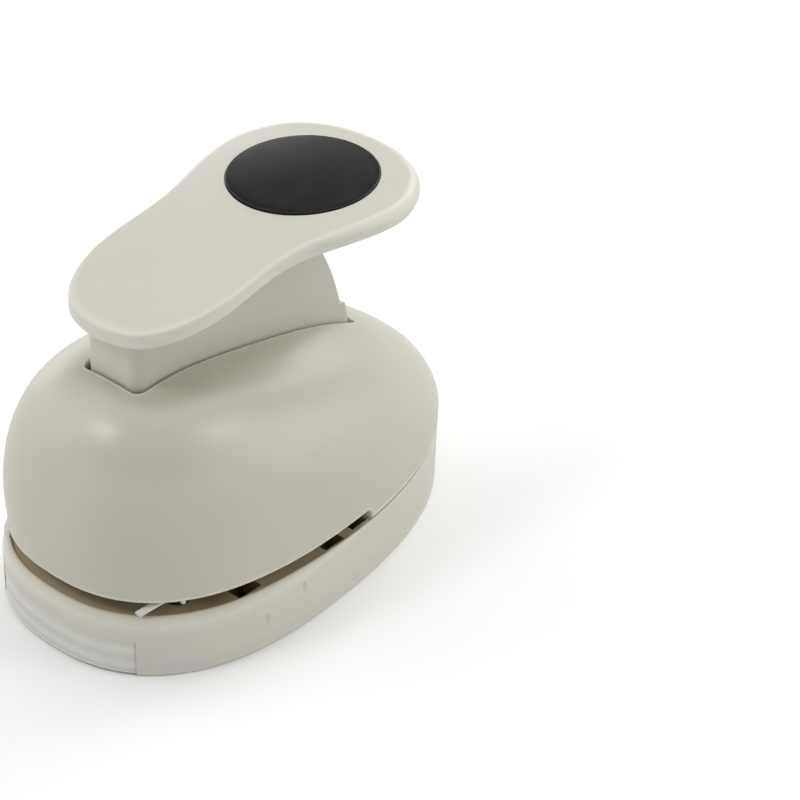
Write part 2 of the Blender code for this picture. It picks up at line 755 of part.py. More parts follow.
def make_lever():
    """Lever in one piece: plate, hollow stem, hinge boss and rest lip."""
    lever = make_lever_plate()
    plan = rounded_box_outline(STEM_HALF_WIDTH, STEM_FRONT, FAR, STEM_ROUND)
    stem = prism_x("stem_side", stem_profile(0.0), STEM_HALF_WIDTH + OVERRUN)
    combine(stem, prism_z("stem_plan", plan, 0.0, 2 * FAR), "INTERSECT")
    join(lever, stem)
    lip = []
    for reach in (STEM_REACH - STEM_WALL / 2, STEM_REACH + LIP_REACH):
        for z in (STEM_FOOT - LIP_WALL, STEM_FOOT + GAP / 2):
            lip.append(reach_point(reach, z))
    lip = [lip[0], lip[2], lip[3], lip[1]]
    join(lever, prism_x("stem_lip", lip, STEM_HALF_WIDTH - STEM_WALL))
    inside = prism_x("stem_inside", stem_profile(STEM_WALL), STEM_HALF_WIDTH - STEM_WALL)
    boss = rod_x("stem_boss", BOSS_RADIUS * BOSS_CORE_SHARE, -FAR, FAR, HINGE_Y, HINGE_Z)
    cut(inside, boss)
    cut(lever, inside)
    reach = STEM_HALF_WIDTH + OVERRUN
    cut(lever, rod_x("pin_hole", PIN_RADIUS + GAP, -reach, reach, HINGE_Y, HINGE_Z))
    hole_radius = ROLLER_PIN_RADIUS + GAP
    cut(lever, rod_x("roller_pin_hole", hole_radius, -reach, reach, ROLLER_Y, ROLLER_Z))
    seat = PAD_RADIUS + GAP
    profile = ((0.0, -PAD_DEPTH), (seat, -PAD_DEPTH), (seat, OVERRUN), (0.0, OVERRUN))
    cut(lever, pad_disc("pad_recess", profile))
    return lever


def pad_disc(name, profile, material=None):
    """Disc square to the plate at the thumb pad; its heights count from the plate's top."""
    pad = turned(name, profile, (0.0, 0.0), FINE_SEGMENTS, material)
    pad.location = (0.0, PLATE_MIDDLE_Y, PLATE_MIDDLE_Z)
    pad.rotation_euler.x = math.atan(PLATE_SLOPE_SHARE)
    return pad


def make_pad():
    """Rubber disc glued in the recess of the lever."""
    low = PAD_RISE - PAD_WALL
    soft = PAD_RISE * PAD_SOFT_SHARE
    profile = (
        (0.0, low),
        (PAD_RADIUS, low),
        (PAD_RADIUS, PAD_RISE - soft),
        (PAD_RADIUS - soft, PAD_RISE),
        (0.0, PAD_RISE),
    )
    return pad_disc("thumb_pad", profile, "pad_rubber")


def make_lever_pin():
    """Steel hinge pin with a groove near each end for its clips."""
    half = PIN_HALF_LENGTH
    clip_middle = CHEEK_OUTER + GAP + CLIP_WALL / 2
    groove_half = CLIP_WALL / 2 + GAP / 2
    core = PIN_RADIUS - CLIP_GROOVE
    stations = [(-half, PIN_RADIUS)]
    for middle in (-clip_middle, clip_middle):
        for x, radius in (
            (middle - groove_half, PIN_RADIUS),
            (middle - groove_half, core),
            (middle + groove_half, core),
            (middle + groove_half, PIN_RADIUS),
        ):
            stations.append((x, radius))
    stations.append((half, PIN_RADIUS))
    turned_x("lever_pin", stations, HINGE_Y, HINGE_Z, PIN_SEGMENTS, "zinc_steel")
    for name, side in (("pin_clip_left", -1), ("pin_clip_right", 1)):
        low, high = sorted((side * (clip_middle - CLIP_WALL / 2), side * (clip_middle + CLIP_WALL / 2)))
        clip = rod_x(name, CLIP_RADIUS, low, high, HINGE_Y, HINGE_Z, PIN_SEGMENTS, "spring_steel")
        bore = rod_x(name + "_bore", core + GAP / 2, low - OVERRUN, high + OVERRUN, HINGE_Y, HINGE_Z)
        mouth = box(
            name + "_mouth",
            (low - OVERRUN, HINGE_Y - core * CLIP_MOUTH_SHARE, HINGE_Z - CLIP_RADIUS - OVERRUN),
            (high + OVERRUN, HINGE_Y + core * CLIP_MOUTH_SHARE, HINGE_Z),
        )
        cut(clip, bore, mouth)


def make_roller():
    """Steel roller that the lever presses on the carrier."""
    half = ANVIL_HALF_WIDTH
    ends = (-half, half, ROLLER_Y, ROLLER_Z, ROLLER_SEGMENTS)
    roller = rod_x("press_roller", ROLLER_RADIUS, *ends, "tool_steel")
    bore_radius = ROLLER_PIN_RADIUS + GAP
    cut(roller, rod_x("roller_bore", bore_radius, -half - OVERRUN, half + OVERRUN, ROLLER_Y, ROLLER_Z))
    pin_half = STEM_HALF_WIDTH - GAP / 2
    ends = (-pin_half, pin_half, ROLLER_Y, ROLLER_Z, PIN_SEGMENTS)
    rod_x("roller_pin", ROLLER_PIN_RADIUS, *ends, "zinc_steel")


def make_screw(name, spot, foot, seat, head_radius, head_height, shank, down=True):
    """Pan-head screw with a cross recess; the head is above its seat when down is set."""
    sign = 1 if down else -1
    crown = seat + sign * head_height
    top_share, rim_share = CROWN_SHARES
    rim = seat + sign * head_height * rim_share
    profile = [
        (0.0, foot),
        (shank * TIP_SHARE, foot),
        (shank, foot + sign * shank),
        (shank, seat),
        (head_radius, seat),
        (head_radius, rim),
        (head_radius * top_share, crown),
        (0.0, crown),
    ]
    screw = turned(name, profile, spot, PIN_SEGMENTS, "zinc_steel")
    low, high = sorted((crown - sign * SOCKET_DEPTH, crown + sign * OVERRUN))
    arm = head_radius * SOCKET_SHARE
    half = SOCKET_WIDTH / 2
    for i, (x, y) in enumerate(((arm, half), (half, arm))):
        corner = (spot[0] - x, spot[1] - y, low)
        cut(screw, box(name + "_cross", corner, (spot[0] + x, spot[1] + y, high)))
    return screw


def make_cutter():
    """Round steel cutter, its foot dished so that the rim shears first."""
    across, deep = DISH_SHARES
    profile = (
        (0.0, CUTTER_FOOT + CUTTER_DISH),
        (CUT_RADIUS * across, CUTTER_FOOT + CUTTER_DISH * deep),
        (CUT_RADIUS, CUTTER_FOOT),
        (CUT_RADIUS, CUTTER_TOP),
        (0.0, CUTTER_TOP),
    )
    cutter = turned("circle_cutter", profile, (0.0, CUT_Y), FINE_SEGMENTS, "tool_steel")
    for side, name in ((-1, "cutter_screw_left"), (1, "cutter_screw_right")):
        spot = (side * CUTTER_SCREW_X, CUTTER_SCREW_Y)
        seat = CARRIER_TOP - SMALL_HEAD_HEIGHT
        foot = seat - CUTTER_SCREW_LENGTH
        cut(cutter, hole("cutter_thread", SMALL_SHANK + GAP, spot, foot - GAP, FAR))
        head = SMALL_HEAD_HEIGHT * CUTTER_HEAD_SHARE
        make_screw(name, spot, foot, seat, SMALL_HEAD, head, SMALL_SHANK)
    return cutter


def make_carrier():
    """Cross-bar that holds the cutter, slides on two posts and takes the roller."""
    plan = rounded_box_outline(CARRIER_HALF_WIDTH, CARRIER_FRONT, CARRIER_REAR, CARRIER_ROUND)
    carrier = prism_z("punch_carrier", plan, CARRIER_FOOT, CARRIER_TOP, "carrier_nylon")
    low = (-ANVIL_HALF_WIDTH, ROLLER_Y - ANVIL_AHEAD, CARRIER_TOP - WALL)
    high = (ANVIL_HALF_WIDTH, ROLLER_Y + ANVIL_BEHIND, ANVIL_TOP)
    join(carrier, box("anvil", low, high))
    for side in (-1, 1):
        spot = (side * POST_X, POST_Y)
        ends = (CARRIER_FOOT - OVERRUN, POCKET_TOP, CARRIER_TOP + OVERRUN)
        cut(carrier, stepped_hole("spring_pocket", spot, POCKET_RADIUS, POST_RADIUS + SLIDE, *ends))
        spot = (side * CUTTER_SCREW_X, CUTTER_SCREW_Y)
        seat = CARRIER_TOP - SMALL_HEAD_HEIGHT - GAP
        ends = (CARRIER_TOP + OVERRUN, seat, CARRIER_FOOT - OVERRUN)
        cut(carrier, stepped_hole("head_seat", spot, SMALL_HEAD + GAP, SMALL_SHANK + GAP, *ends))
    return carrier


def make_posts():
    """Guide posts riveted in the guide plate, each with a clip that stops the carrier."""
    for side, word in ((-1, "left"), (1, "right")):
        spot = (side * POST_X, POST_Y)
        foot = GUIDE_FOOT + GAP
        shoulder = GUIDE_TOP + GAP
        clip_low = CARRIER_TOP + GAP
        clip_high = clip_low + CLIP_WALL
        core = POST_RADIUS - CLIP_GROOVE
        profile = (
            (0.0, foot),
            (POST_FOOT_RADIUS, foot),
            (POST_FOOT_RADIUS, shoulder),
            (POST_RADIUS, shoulder),
            (POST_RADIUS, clip_low - GAP / 2),
            (core, clip_low - GAP / 2),
            (core, clip_high + GAP / 2),
            (POST_RADIUS, clip_high + GAP / 2),
            (POST_RADIUS, POST_TOP - core * POST_TIP_SHARE),
            (core, POST_TOP),
            (0.0, POST_TOP),
        )
        turned("guide_post_" + word, profile, spot, PIN_SEGMENTS, "tool_steel")
        clip = hole("post_clip_" + word, CLIP_RADIUS, spot, clip_low, clip_high)
        clip.data.materials.append(paint("spring_steel"))
        clip.data.shade_smooth()
        cut(clip, hole("clip_bore", core + GAP / 2, spot, clip_low - OVERRUN, clip_high + OVERRUN))
        half = core * CLIP_MOUTH_SHARE
        mouth_low = (spot[0] - half, spot[1], clip_low - OVERRUN)
        cut(clip, box("clip_mouth", mouth_low, (spot[0] + half, spot[1] + OVERRUN, clip_high + OVERRUN)))


def make_springs():
    """Return springs: one unbroken helix each, drawn as a swept tube."""
    foot = GUIDE_TOP + GAP + SPRING_WIRE
    top = POCKET_TOP - GAP - SPRING_WIRE
    pitch = (top - foot) / SPRING_CURLS
    print("return spring: least gap between curls", round((pitch - 2 * SPRING_WIRE) / MM, 2), "mm")
    for side, word in ((-1, "left"), (1, "right")):
        count = SPRING_CURLS * SPRING_POINTS
        curve = bpy.data.curves.new("return_spring_" + word, "CURVE")
        curve.dimensions = "3D"
        curve.bevel_depth = SPRING_WIRE
        curve.bevel_resolution = 1
        curve.use_fill_caps = True
        line = curve.splines.new("POLY")
        line.points.add(count)
        for i in range(count + 1):
            angle = 2 * math.pi * i / SPRING_POINTS
            x, y = SPRING_RADIUS * math.cos(angle), SPRING_RADIUS * math.sin(angle)
            line.points[i].co = (x, y, foot + (top - foot) * i / count, 1.0)
        spring = bpy.data.objects.new("return_spring_" + word, curve)
        spring.location = (side * POST_X, POST_Y, 0.0)
        curve.materials.append(paint("spring_steel"))
        bpy.context.scene.collection.objects.link(spring)


def make_plates():
    """Die plate in the deck, guide plate over the slot and the spacer between them."""
    recess = rounded_box_outline(DIE_HALF_WIDTH, DIE_FRONT, DIE_REAR, DIE_ROUND - GAP)
    die = prism_z("die_plate", recess, DIE_FOOT, DIE_TOP, "tool_steel")
    cut(die, hole("die_hole", DIE_RADIUS, (0.0, CUT_Y), 0.0, FAR, FINE_SEGMENTS))
    names = ("front_left", "front_right", "rear_left", "rear_right")
    for name, spot in zip(names, die_spots()):
        head = SMALL_HEAD - GAP
        cone = (
            (0.0, DIE_FOOT - OVERRUN),
            (SMALL_SHANK + GAP, DIE_FOOT - OVERRUN),
            (SMALL_SHANK + GAP, DIE_FOOT + GAP),
            (head + GAP, DIE_TOP - GAP),
            (head + GAP, DIE_TOP + OVERRUN),
            (0.0, DIE_TOP + OVERRUN),
        )
        cut(die, turned("countersink", cone, spot, PIN_SEGMENTS))
        profile = (
            (0.0, FRAME_SCREW_FOOT),
            (SMALL_SHANK, FRAME_SCREW_FOOT),
            (SMALL_SHANK, DIE_FOOT + 2 * GAP),
            (head, DIE_TOP - GAP),
            (0.0, DIE_TOP - GAP),
        )
        screw = turned("die_screw_" + name, profile, spot, PIN_SEGMENTS, "zinc_steel")
        arm, half = head * SOCKET_SHARE, SOCKET_WIDTH / 2
        for x, y in ((arm, half), (half, arm)):
            low = (spot[0] - x, spot[1] - y, DIE_TOP - GAP - SOCKET_DEPTH)
            cut(screw, box("die_cross", low, (spot[0] + x, spot[1] + y, DIE_TOP + OVERRUN)))

    outline = [(HALF_WIDTH * across, HALF_LENGTH * along) for across, along in GUIDE_OUTLINE_SHARES]
    guide = prism_z("guide_plate", outline, GUIDE_FOOT, GUIDE_TOP, "tool_steel")
    cut(guide, hole("guide_hole", DIE_RADIUS, (0.0, CUT_Y), 0.0, FAR, FINE_SEGMENTS))
    for side in (-1, 1):
        spot = (side * POST_X, POST_Y)
        cut(guide, hole("post_hole", POST_FOOT_RADIUS + GAP, spot, 0.0, FAR))

    spacer_rear = SPACER_FRONT + SPACER_DEPTH
    low = (-SPACER_HALF_WIDTH, SPACER_FRONT, DECK + GAP)
    spacer = box("slot_spacer", low, (SPACER_HALF_WIDTH, spacer_rear, GUIDE_FOOT - GAP), "zinc_steel")
    for name, spot in zip(("frame_screw_left", "frame_screw_right"), frame_spots()):
        for piece in (guide, spacer):
            cut(piece, hole("frame_hole", SMALL_SHANK + GAP, spot, 0.0, FAR))
        seat = GUIDE_TOP + GAP
        make_screw(name, spot, FRAME_SCREW_FOOT, seat, SMALL_HEAD, SMALL_HEAD_HEIGHT, SMALL_SHANK)


def make_housing_screws():
    names = ("housing_screw_left", "housing_screw_right", "housing_screw_rear")
    seat = HOUSING_SEAT - GAP
    for name, spot in zip(names, housing_spots()):
        make_screw(name, spot, HOUSING_TOP, seat, HOUSING_HEAD, HOUSING_HEAD_HEIGHT, HOUSING_SHANK, False)


def make_tray():
    """Chip tray: shallow drawer whose ridged nose closes the mouth of the lower shell."""
    levels = [(TRAY_LIP_FOOT, 0.0)]
    height = TRAY_TOP - TRAY_LIP_FOOT
    step = height / (2 * TRAY_RIDGES + 1)
    for i in range(TRAY_RIDGES):
        low = TRAY_LIP_FOOT + step * (2 * i + 1)
        levels += [(low, 0.0)]
        levels += [(low + step * share, TRAY_RIDGE) for share in TRAY_RIDGE_SHARES]
        levels += [(low + step, 0.0)]
    levels.append((TRAY_TOP, 0.0))
    rings = [outline_ring(TRAY_INSET + inset, z) for z, inset in levels]
    tray = loft("chip_tray", rings, "tray_plastic")
    low = (-TRAY_HALF_WIDTH, -FAR, -OVERRUN)
    combine(tray, box("tray_limits", low, (TRAY_HALF_WIDTH, TRAY_REAR, FAR)), "INTERSECT")
    cut(tray, box("tray_under", (-FAR, LIP_BACK, -OVERRUN), (FAR, FAR, TRAY_FOOT)))
    inside = loft("tray_inside", [outline_ring(TRAY_LIP_WALL, TRAY_FOOT + TRAY_FLOOR), outline_ring(TRAY_LIP_WALL, DECK)])
    reach = TRAY_HALF_WIDTH - TRAY_WALL
    low = (-reach, -FAR, 0.0)
    combine(inside, box("tray_inside_limits", low, (reach, TRAY_REAR - TRAY_WALL, FAR)), "INTERSECT")
    cut(tray, inside)
    return tray


def make_fingers():
    """Narrow leaf on each side that holds the paper down at the mouth of the slot."""
    for side, word in ((-1, "left"), (1, "right")):
        rings = []
        for across_share, along_share, down_share in FINGER_PATH_SHARES:
            x, y = HALF_WIDTH * across_share, HALF_LENGTH * along_share
            z = SLOT_TOP - SLOT_HEIGHT * down_share
            half = FINGER_WIDTH / 2
            ring = []
            for across, up in ((-half, 0.0), (half, 0.0), (half, FINGER_WALL), (-half, FINGER_WALL)):
                ring.append((side * (x + across), y, z + up - FINGER_WALL / 2))
            rings.append(ring)
        loft("paper_finger_" + word, rings, "tray_plastic")


def hang(name, place, pieces):
    """Parents the pieces of one moving group to an empty that stands on their joint's axis."""
    empty = bpy.data.objects.new(name, None)
    bpy.context.scene.collection.objects.link(empty)
    empty.empty_display_size = WALL
    empty.location = place
    for piece in pieces:
        thing = bpy.data.objects[piece]
        thing.location -= Vector(place)
        thing.parent = empty
    return empty


def main():
    clear_scene()
    make_base()
    make_dome()
    make_lever()
    make_pad()
    make_lever_pin()
    make_roller()
    make_cutter()
    make_carrier()
    make_posts()
    make_springs()
    make_plates()
    make_housing_screws()
    make_tray()
    make_fingers()
    roller = hang("roller_axis", (0.0, ROLLER_Y, ROLLER_Z), ("press_roller",))
    lever = hang("lever_axis", (0.0, HINGE_Y, HINGE_Z), ("lever", "thumb_pad", "roller_pin"))
    roller.location -= lever.location
    roller.parent = lever
    screws = ("cutter_screw_left", "cutter_screw_right")
    hang("punch_axis", (0.0, CUT_Y, CUTTER_FOOT), ("punch_carrier", "circle_cutter", *screws))
    hang("tray_axis", (0.0, -HALF_LENGTH, TRAY_FOOT), ("chip_tray",))


main()
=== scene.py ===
"""Looks of the lever circle punch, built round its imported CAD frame.

Lengths are in metres. The nose with the paper slot faces -Y, the thumb pad is at +Y, +Z is up,
and the photograph shows the +X flank. A skin is a grid of points: its rows go up or across a
piece, and the columns of each row go once round it.
"""

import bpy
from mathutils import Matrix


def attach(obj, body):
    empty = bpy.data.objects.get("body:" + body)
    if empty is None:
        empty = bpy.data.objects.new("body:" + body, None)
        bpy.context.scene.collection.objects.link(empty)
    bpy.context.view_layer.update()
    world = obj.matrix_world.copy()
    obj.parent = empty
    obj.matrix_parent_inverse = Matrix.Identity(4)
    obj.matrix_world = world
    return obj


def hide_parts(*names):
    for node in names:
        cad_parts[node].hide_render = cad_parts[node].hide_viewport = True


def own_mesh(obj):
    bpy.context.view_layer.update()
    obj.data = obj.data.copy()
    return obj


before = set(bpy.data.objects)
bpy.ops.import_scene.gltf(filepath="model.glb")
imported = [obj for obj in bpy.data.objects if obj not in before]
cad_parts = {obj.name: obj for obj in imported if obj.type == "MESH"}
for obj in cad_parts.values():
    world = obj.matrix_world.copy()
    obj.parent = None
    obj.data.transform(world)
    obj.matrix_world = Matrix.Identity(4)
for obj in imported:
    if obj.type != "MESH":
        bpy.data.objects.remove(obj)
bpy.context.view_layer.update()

import math

import bmesh
import bpy
import numpy as np
from mathutils import Vector

MM = 0.001

# Camera, fitted to the photograph's outline
VIEW_AZIMUTH = 43.87
VIEW_ELEVATION = 33.0
VIEW_TARGET = (0.0, 0.0, 25.0 * MM)
VIEW_DISTANCE = 350.0 * MM
VIEW_LENS = 97.97
VIEW_SHIFT = (0.205, 0.0056)

# Footprint and lower shell: sizes of the CAD, with slot, cells and trough fitted to the photograph
HALF_LENGTH = 42.0 * MM
HALF_WIDTH = 24.7 * MM
OUTLINE_POWER = 2.38
EGG_SHARE = -0.15
DECK = 10.8 * MM
GAP = 0.3 * MM
WALL = 2.0 * MM
FOOT_ROUND = 0.4 * MM
LEDGE_ROUND = 2.8 * MM
SEAM_ROUND = 0.25 * MM
LEDGE_TAPER = 26.0 * MM
LEDGE_WIDTH_SHARE = 0.42
SLOT_FADE = 3.0 * MM
TROUGH_DEPTH = 0.5 * MM
TROUGH_RUN = 0.55 * MM
CAVITY_TOP = 6.8 * MM
CUT_TOP = 20.0 * MM
CELLS = ((-22.4, -17.6, 22.4), (-4.2, 0.2, 23.6), (2.5, 6.0, 23.3))
CELL_INNER = 18.3 * MM
SLOT_TOP = 13.2 * MM
SLOT_END = 6.5 * MM
SLOT_END_ROUND = 1.6 * MM
SLOT_END_POWER = 2.4
# Painted shade on the deck near the nose: its place along Y and its share
NOSE_SHADE_Y = -25.5 * MM
NOSE_SHADE_SHARE = 0.7
SCREW_BORE = 1.55 * MM
BOSS_RADIUS = 3.7 * MM
BOSS_BORE_TOP = 19.1 * MM
SMALL_BORE = 1.3 * MM
CUTTER_BORE = 13.6 * MM

# Upper shell: sizes of the CAD, with its rim fitted to the photograph
DOME_FOOT = DECK + GAP
DOME_WIDEST = 15.2 * MM
DOME_TOP = 47.2 * MM
DOME_LEAN = -4.6 * MM
DOME_FALL = 0.168
DOME_POWER = 3.3
DOME_INSET = 0.028
DOME_INSET_TAPER = 30.0 * MM
DOME_SHOULDER = 0.76
RIM_ROUND = 0.36 * MM
RIM_NUB = (19.0, -31.2, 0.42, 12.75, 14.2)
OPENING = (6.2 * MM, -27.3 * MM, 21.6 * MM, 1.7 * MM, 0.6 * MM)
OPENING_ROUND = 0.35 * MM
ROOF_SINK = 0.6 * MM

# Hinge, lever and pad: sizes of the CAD, with the pad fitted to the photograph
HINGE_Y = -22.5 * MM
HINGE_Z = 28.0 * MM
HINGE_BORE = 1.9 * MM
ROLLER_Y = -12.3 * MM
ROLLER_Z = 30.6 * MM
PLATE_FRONT = -29.7 * MM
PLATE_REAR = 31.5 * MM
PLATE_HALF_WIDTH = 18.4 * MM
PLATE_OUTLINE = (
    (0.000, 0.000), (0.007, 0.200), (0.023, 0.375), (0.046, 0.480), (0.078, 0.573), (0.126, 0.654),
    (0.175, 0.703), (0.224, 0.728), (0.273, 0.732), (0.322, 0.727), (0.371, 0.722), (0.420, 0.729),
    (0.469, 0.753), (0.518, 0.799), (0.567, 0.856), (0.616, 0.910), (0.665, 0.957), (0.714, 0.989),
    (0.763, 1.000), (0.812, 0.973), (0.861, 0.908), (0.904, 0.820), (0.948, 0.652), (0.979, 0.441),
    (0.995, 0.226), (1.000, 0.000),
)
PAD_Y = 15.0 * MM
PAD_Z = 61.0 * MM
PLATE_SLOPE = 0.0717
PLATE_DROOP = 0.108
PLATE_CROWN = 0.65 * MM
PLATE_THICKNESS = 2.5 * MM
PLATE_ROUND = 0.45 * MM
PLATE_SOFT_ROUND = 1.7 * MM
STEM_HALF_WIDTH = 5.85 * MM
STEM_FRONT = -26.9 * MM
STEM_ROUND = 2.3 * MM
STEM_WALL = 1.6 * MM
STEM_REACH = 42.2 * MM
STEM_SINK = 1.4 * MM
# Painted shade on the stem's sides under the plate
STEM_SHADE = 0.3
HEEL_REACH = 1.1 * MM
HEEL_TOP = 38.0 * MM
HEEL_SLOPE = 0.6 * MM
PAD_RADIUS = 12.14 * MM
PAD_SEAT = 12.2 * MM
PAD_DEPTH = 0.9 * MM
PAD_RISE = 0.08 * MM
PAD_CROWN = 0.6 * MM

# Return springs round the guide posts, as in the CAD
SPRING_X = 16.0 * MM
SPRING_Y = -13.2 * MM
SPRING_RADIUS = 2.75 * MM
SPRING_WIRE = 0.4 * MM
SPRING_FOOT = 16.0 * MM
SPRING_TOP = 25.1 * MM
SPRING_CURLS = 6

# Tray: sizes of the CAD, with its bands and its mouth fitted to the photograph
TRAY_HALF_WIDTH = 15.1 * MM
TRAY_FOOT = 1.7 * MM
TRAY_TOP = 6.4 * MM
TRAY_REAR = 13.4 * MM
TRAY_LIP_FOOT = 0.3 * MM
TRAY_LIP_WALL = 2.2 * MM
TRAY_INSET = 0.1 * MM
TRAY_RIDGE = 0.14 * MM
TRAY_BAND_START = 0.28
TRAY_BAND_STEP = 0.46
TRAY_WALL = 1.4 * MM
TRAY_FLOOR = 1.0 * MM
TRAY_EDGE = 0.3 * MM
TRAY_TURN_IN = 0.5 * MM
TRAY_MIDDLE = -10.0 * MM
MOUTH_HALF_WIDTH = 15.14 * MM
MOUTH_TOP = 6.45 * MM

# Columns of the skins
SHELL_COLUMNS = 256
CORNER_COLUMNS = 14
LEVER_COLUMNS = 320
TRAY_COLUMNS = 480
ROUND_ROWS = 5

# Places this near are joined, in a new skin and in a cut one; edges over this angle are creases
WELD = 0.0005 * MM
NEAR = 0.002 * MM
CREASE = 38.0


def smooth_step(value):
    value = np.clip(value, 0.0, 1.0)
    return value * value * (3.0 - 2.0 * value)


def signed_power(value, power):
    return np.sign(value) * np.abs(value) ** power


def ring(x, y, z, wear_and_painted_light=0.0):
    """One row of a skin: its places, and its wear and painted light: paler worn edges that also
    carry painted highlights where positive, painted shade where negative.
    """
    return np.stack(np.broadcast_arrays(x, y, z, wear_and_painted_light), axis=-1).astype(float)


def skin(rows, loop=False):
    """Points and quads of the rows; with loop set the last row joins the first."""
    points = np.array(rows)
    count, columns = points.shape[:2]
    low = np.arange(count if loop else count - 1)[:, None]
    here = np.arange(columns)[None, :]
    after = (here + 1) % columns
    high = (low + 1) % count
    low, high = low * columns, high * columns
    corners = (low + here, low + after, high + after, high + here)
    return points.reshape(-1, 4), np.stack(corners, axis=-1).reshape(-1, 4)


def pole(row, x, y, z):
    """Row that closes a skin at one point."""
    return ring(np.full(len(row), x), y, z)


def round_steps(rows=ROUND_ROWS):
    """Pairs of 1 - sin and 1 - cos over a quarter turn, for a rounded edge."""
    angle = np.linspace(0.0, np.pi / 2, rows)
    return list(zip(1 - np.sin(angle), 1 - np.cos(angle)))


def full_turn(columns):
    return np.linspace(0.0, 2 * np.pi, columns, endpoint=False)


def circle(spot, radius, angle):
    """x and y on a circle round a spot."""
    return spot[0] + radius * np.cos(angle), spot[1] + radius * np.sin(angle)


def moved_in(plan, distance):
    """x and y of an outline moved inwards along its normals."""
    x, y, out_x, out_y = plan
    return x - out_x * distance, y - out_y * distance


def between(first, second, share):
    """x and y this share of the way from one outline or place to another."""
    return [a + (b - a) * share for a, b in zip(first[:2], second[:2])]


def values_of(items, word, width=1):
    """Values of one property of mesh items, as a row for each of its parts when it has more."""
    values = np.zeros(width * len(items))
    items.foreach_get(word, values)
    return values.reshape(-1, width).T if width > 1 else values


def add_piece(name, skins, crease=CREASE):
    """Object at the origin from closed skins: welded, facing out, smooth but for its creases."""
    mesh = bpy.data.meshes.new(name)
    starts = np.cumsum([0] + [len(points) for points, _ in skins[:-1]])
    points = np.concatenate([points for points, _ in skins])
    faces = np.concatenate([faces + start for start, (_, faces) in zip(starts, skins)])
    mesh.from_pydata(points[:, :3].tolist(), [], faces.tolist())
    wear_and_painted_light = mesh.attributes.new("wear_and_painted_light", "FLOAT", "POINT")
    wear_and_painted_light.data.foreach_set("value", points[:, 3].astype(np.float32))
    piece = bpy.data.objects.new(name, mesh)
    bpy.context.scene.collection.objects.link(piece)
    mend(mesh, WELD, crease)
    return piece


def mend(mesh, near, crease):
    """Joins near places, faces the mesh out and shades it; a cut mesh also loses its slivers."""
    shape = bmesh.new()
    shape.from_mesh(mesh)
    if near == NEAR:
        bmesh.ops.triangulate(shape, faces=[face for face in shape.faces if len(face.verts) > 4])
    bmesh.ops.remove_doubles(shape, verts=shape.verts, dist=near)
    if near == NEAR:
        bmesh.ops.dissolve_degenerate(shape, edges=shape.edges, dist=near)
    bmesh.ops.recalc_face_normals(shape, faces=shape.faces)
    shape.to_mesh(mesh)
    shape.free()
    mesh.shade_smooth()
    mesh.set_sharp_from_angle(angle=math.radians(crease))


def carve(piece, cutters):
    """Cuts closed cutters from the piece, keeps the result as its mesh and drops the cutters."""
    for cutter in cutters:
        change = piece.modifiers.new(cutter.name, "BOOLEAN")
        change.operation = "DIFFERENCE"
        change.solver = "EXACT"
        change.object = cutter
    view = bpy.context.evaluated_depsgraph_get()
    mesh = bpy.data.meshes.new_from_object(piece.evaluated_get(view))
    piece.modifiers.clear()
    piece.data = mesh
    mend(mesh, NEAR, CREASE)
    for cutter in cutters:
        bpy.data.objects.remove(cutter, do_unlink=True)


def capped(rows):
    """Skin of the rows, closed at the middle of the first and the last."""
    ends = [pole(row, *row[:, :3].mean(axis=0)) for row in (rows[0], rows[-1])]
    return skin([ends[0], *rows, ends[1]])


def block(low, high, wear_and_painted_light=0.0):
    """Box between two corners: a square row below and one above."""
    x = np.array((low[0], high[0], high[0], low[0]))
    y = np.array((low[1], low[1], high[1], high[1]))
    return capped([ring(x, y, z, wear_and_painted_light) for z in (low[2], high[2])])


def turned(profile, centre, columns=64, loop=False):
    """Profile of (radius, z) carried round a standing axis: x = r cos a, y = r sin a."""
    angle = full_turn(columns) + np.pi / columns
    return skin([ring(*circle(centre, radius, angle), z) for radius, z in profile], loop)


def turned_x(profile, y, z, columns=48, loop=False):
    """Profile of (x, radius) carried round an axis along X."""
    angle = full_turn(columns)
    return skin([ring(x, *circle((y, z), radius, angle)) for x, radius in profile], loop)


def rod_x(radius, reach, y, z):
    return turned_x(((-reach, 0.0), (-reach, radius), (reach, radius), (reach, 0.0)), y, z)


def outline(turn, shrink=0.0):
    """Footprint at each share of a turn: x = W c (1 + e s) and y = L s.

    W and L are the half width and half length less shrink, e is the egg share, and c and s are
    the cosine and sine, each raised to 2 / 2.38 with its sign kept.
    """
    angle = 2 * np.pi * turn
    across = signed_power(np.cos(angle), 2 / OUTLINE_POWER)
    along = signed_power(np.sin(angle), 2 / OUTLINE_POWER)
    x = across * (HALF_WIDTH - shrink) * (1 + EGG_SHARE * along)
    return x, along * (HALF_LENGTH - shrink)


def drawn_in(x, y, inset):
    """Places moved towards the middle of the footprint by inset."""
    share = 1 - inset / np.hypot(x, y)
    return x * share, y * share


def turn_at(y):
    """Share of a turn at which the footprint's right side passes y."""
    return np.arcsin(signed_power(y / HALF_LENGTH, OUTLINE_POWER / 2)) / (2 * np.pi)


def shell_turns():
    """Columns of the upper shell, close together where its rim drops at the end of the slot."""
    even = np.arange(SHELL_COLUMNS) / SHELL_COLUMNS
    bend = np.sin(np.linspace(0.0, np.pi / 2, CORNER_COLUMNS)) ** (2 / SLOT_END_POWER)
    right = turn_at(SLOT_END - SLOT_END_ROUND * (1 - bend))
    close = np.concatenate((right, 0.5 - right))
    room = 0.6 / SHELL_COLUMNS
    apart = np.abs((even[:, None] - close[None, :] + 0.5) % 1.0 - 0.5).min(axis=1)
    inside = (even > right.min()) & (even < right.max())
    inside |= (even > 0.5 - right.max()) & (even < 0.5 - right.min())
    return np.sort(np.concatenate((even[(apart > room) & ~inside], close)))


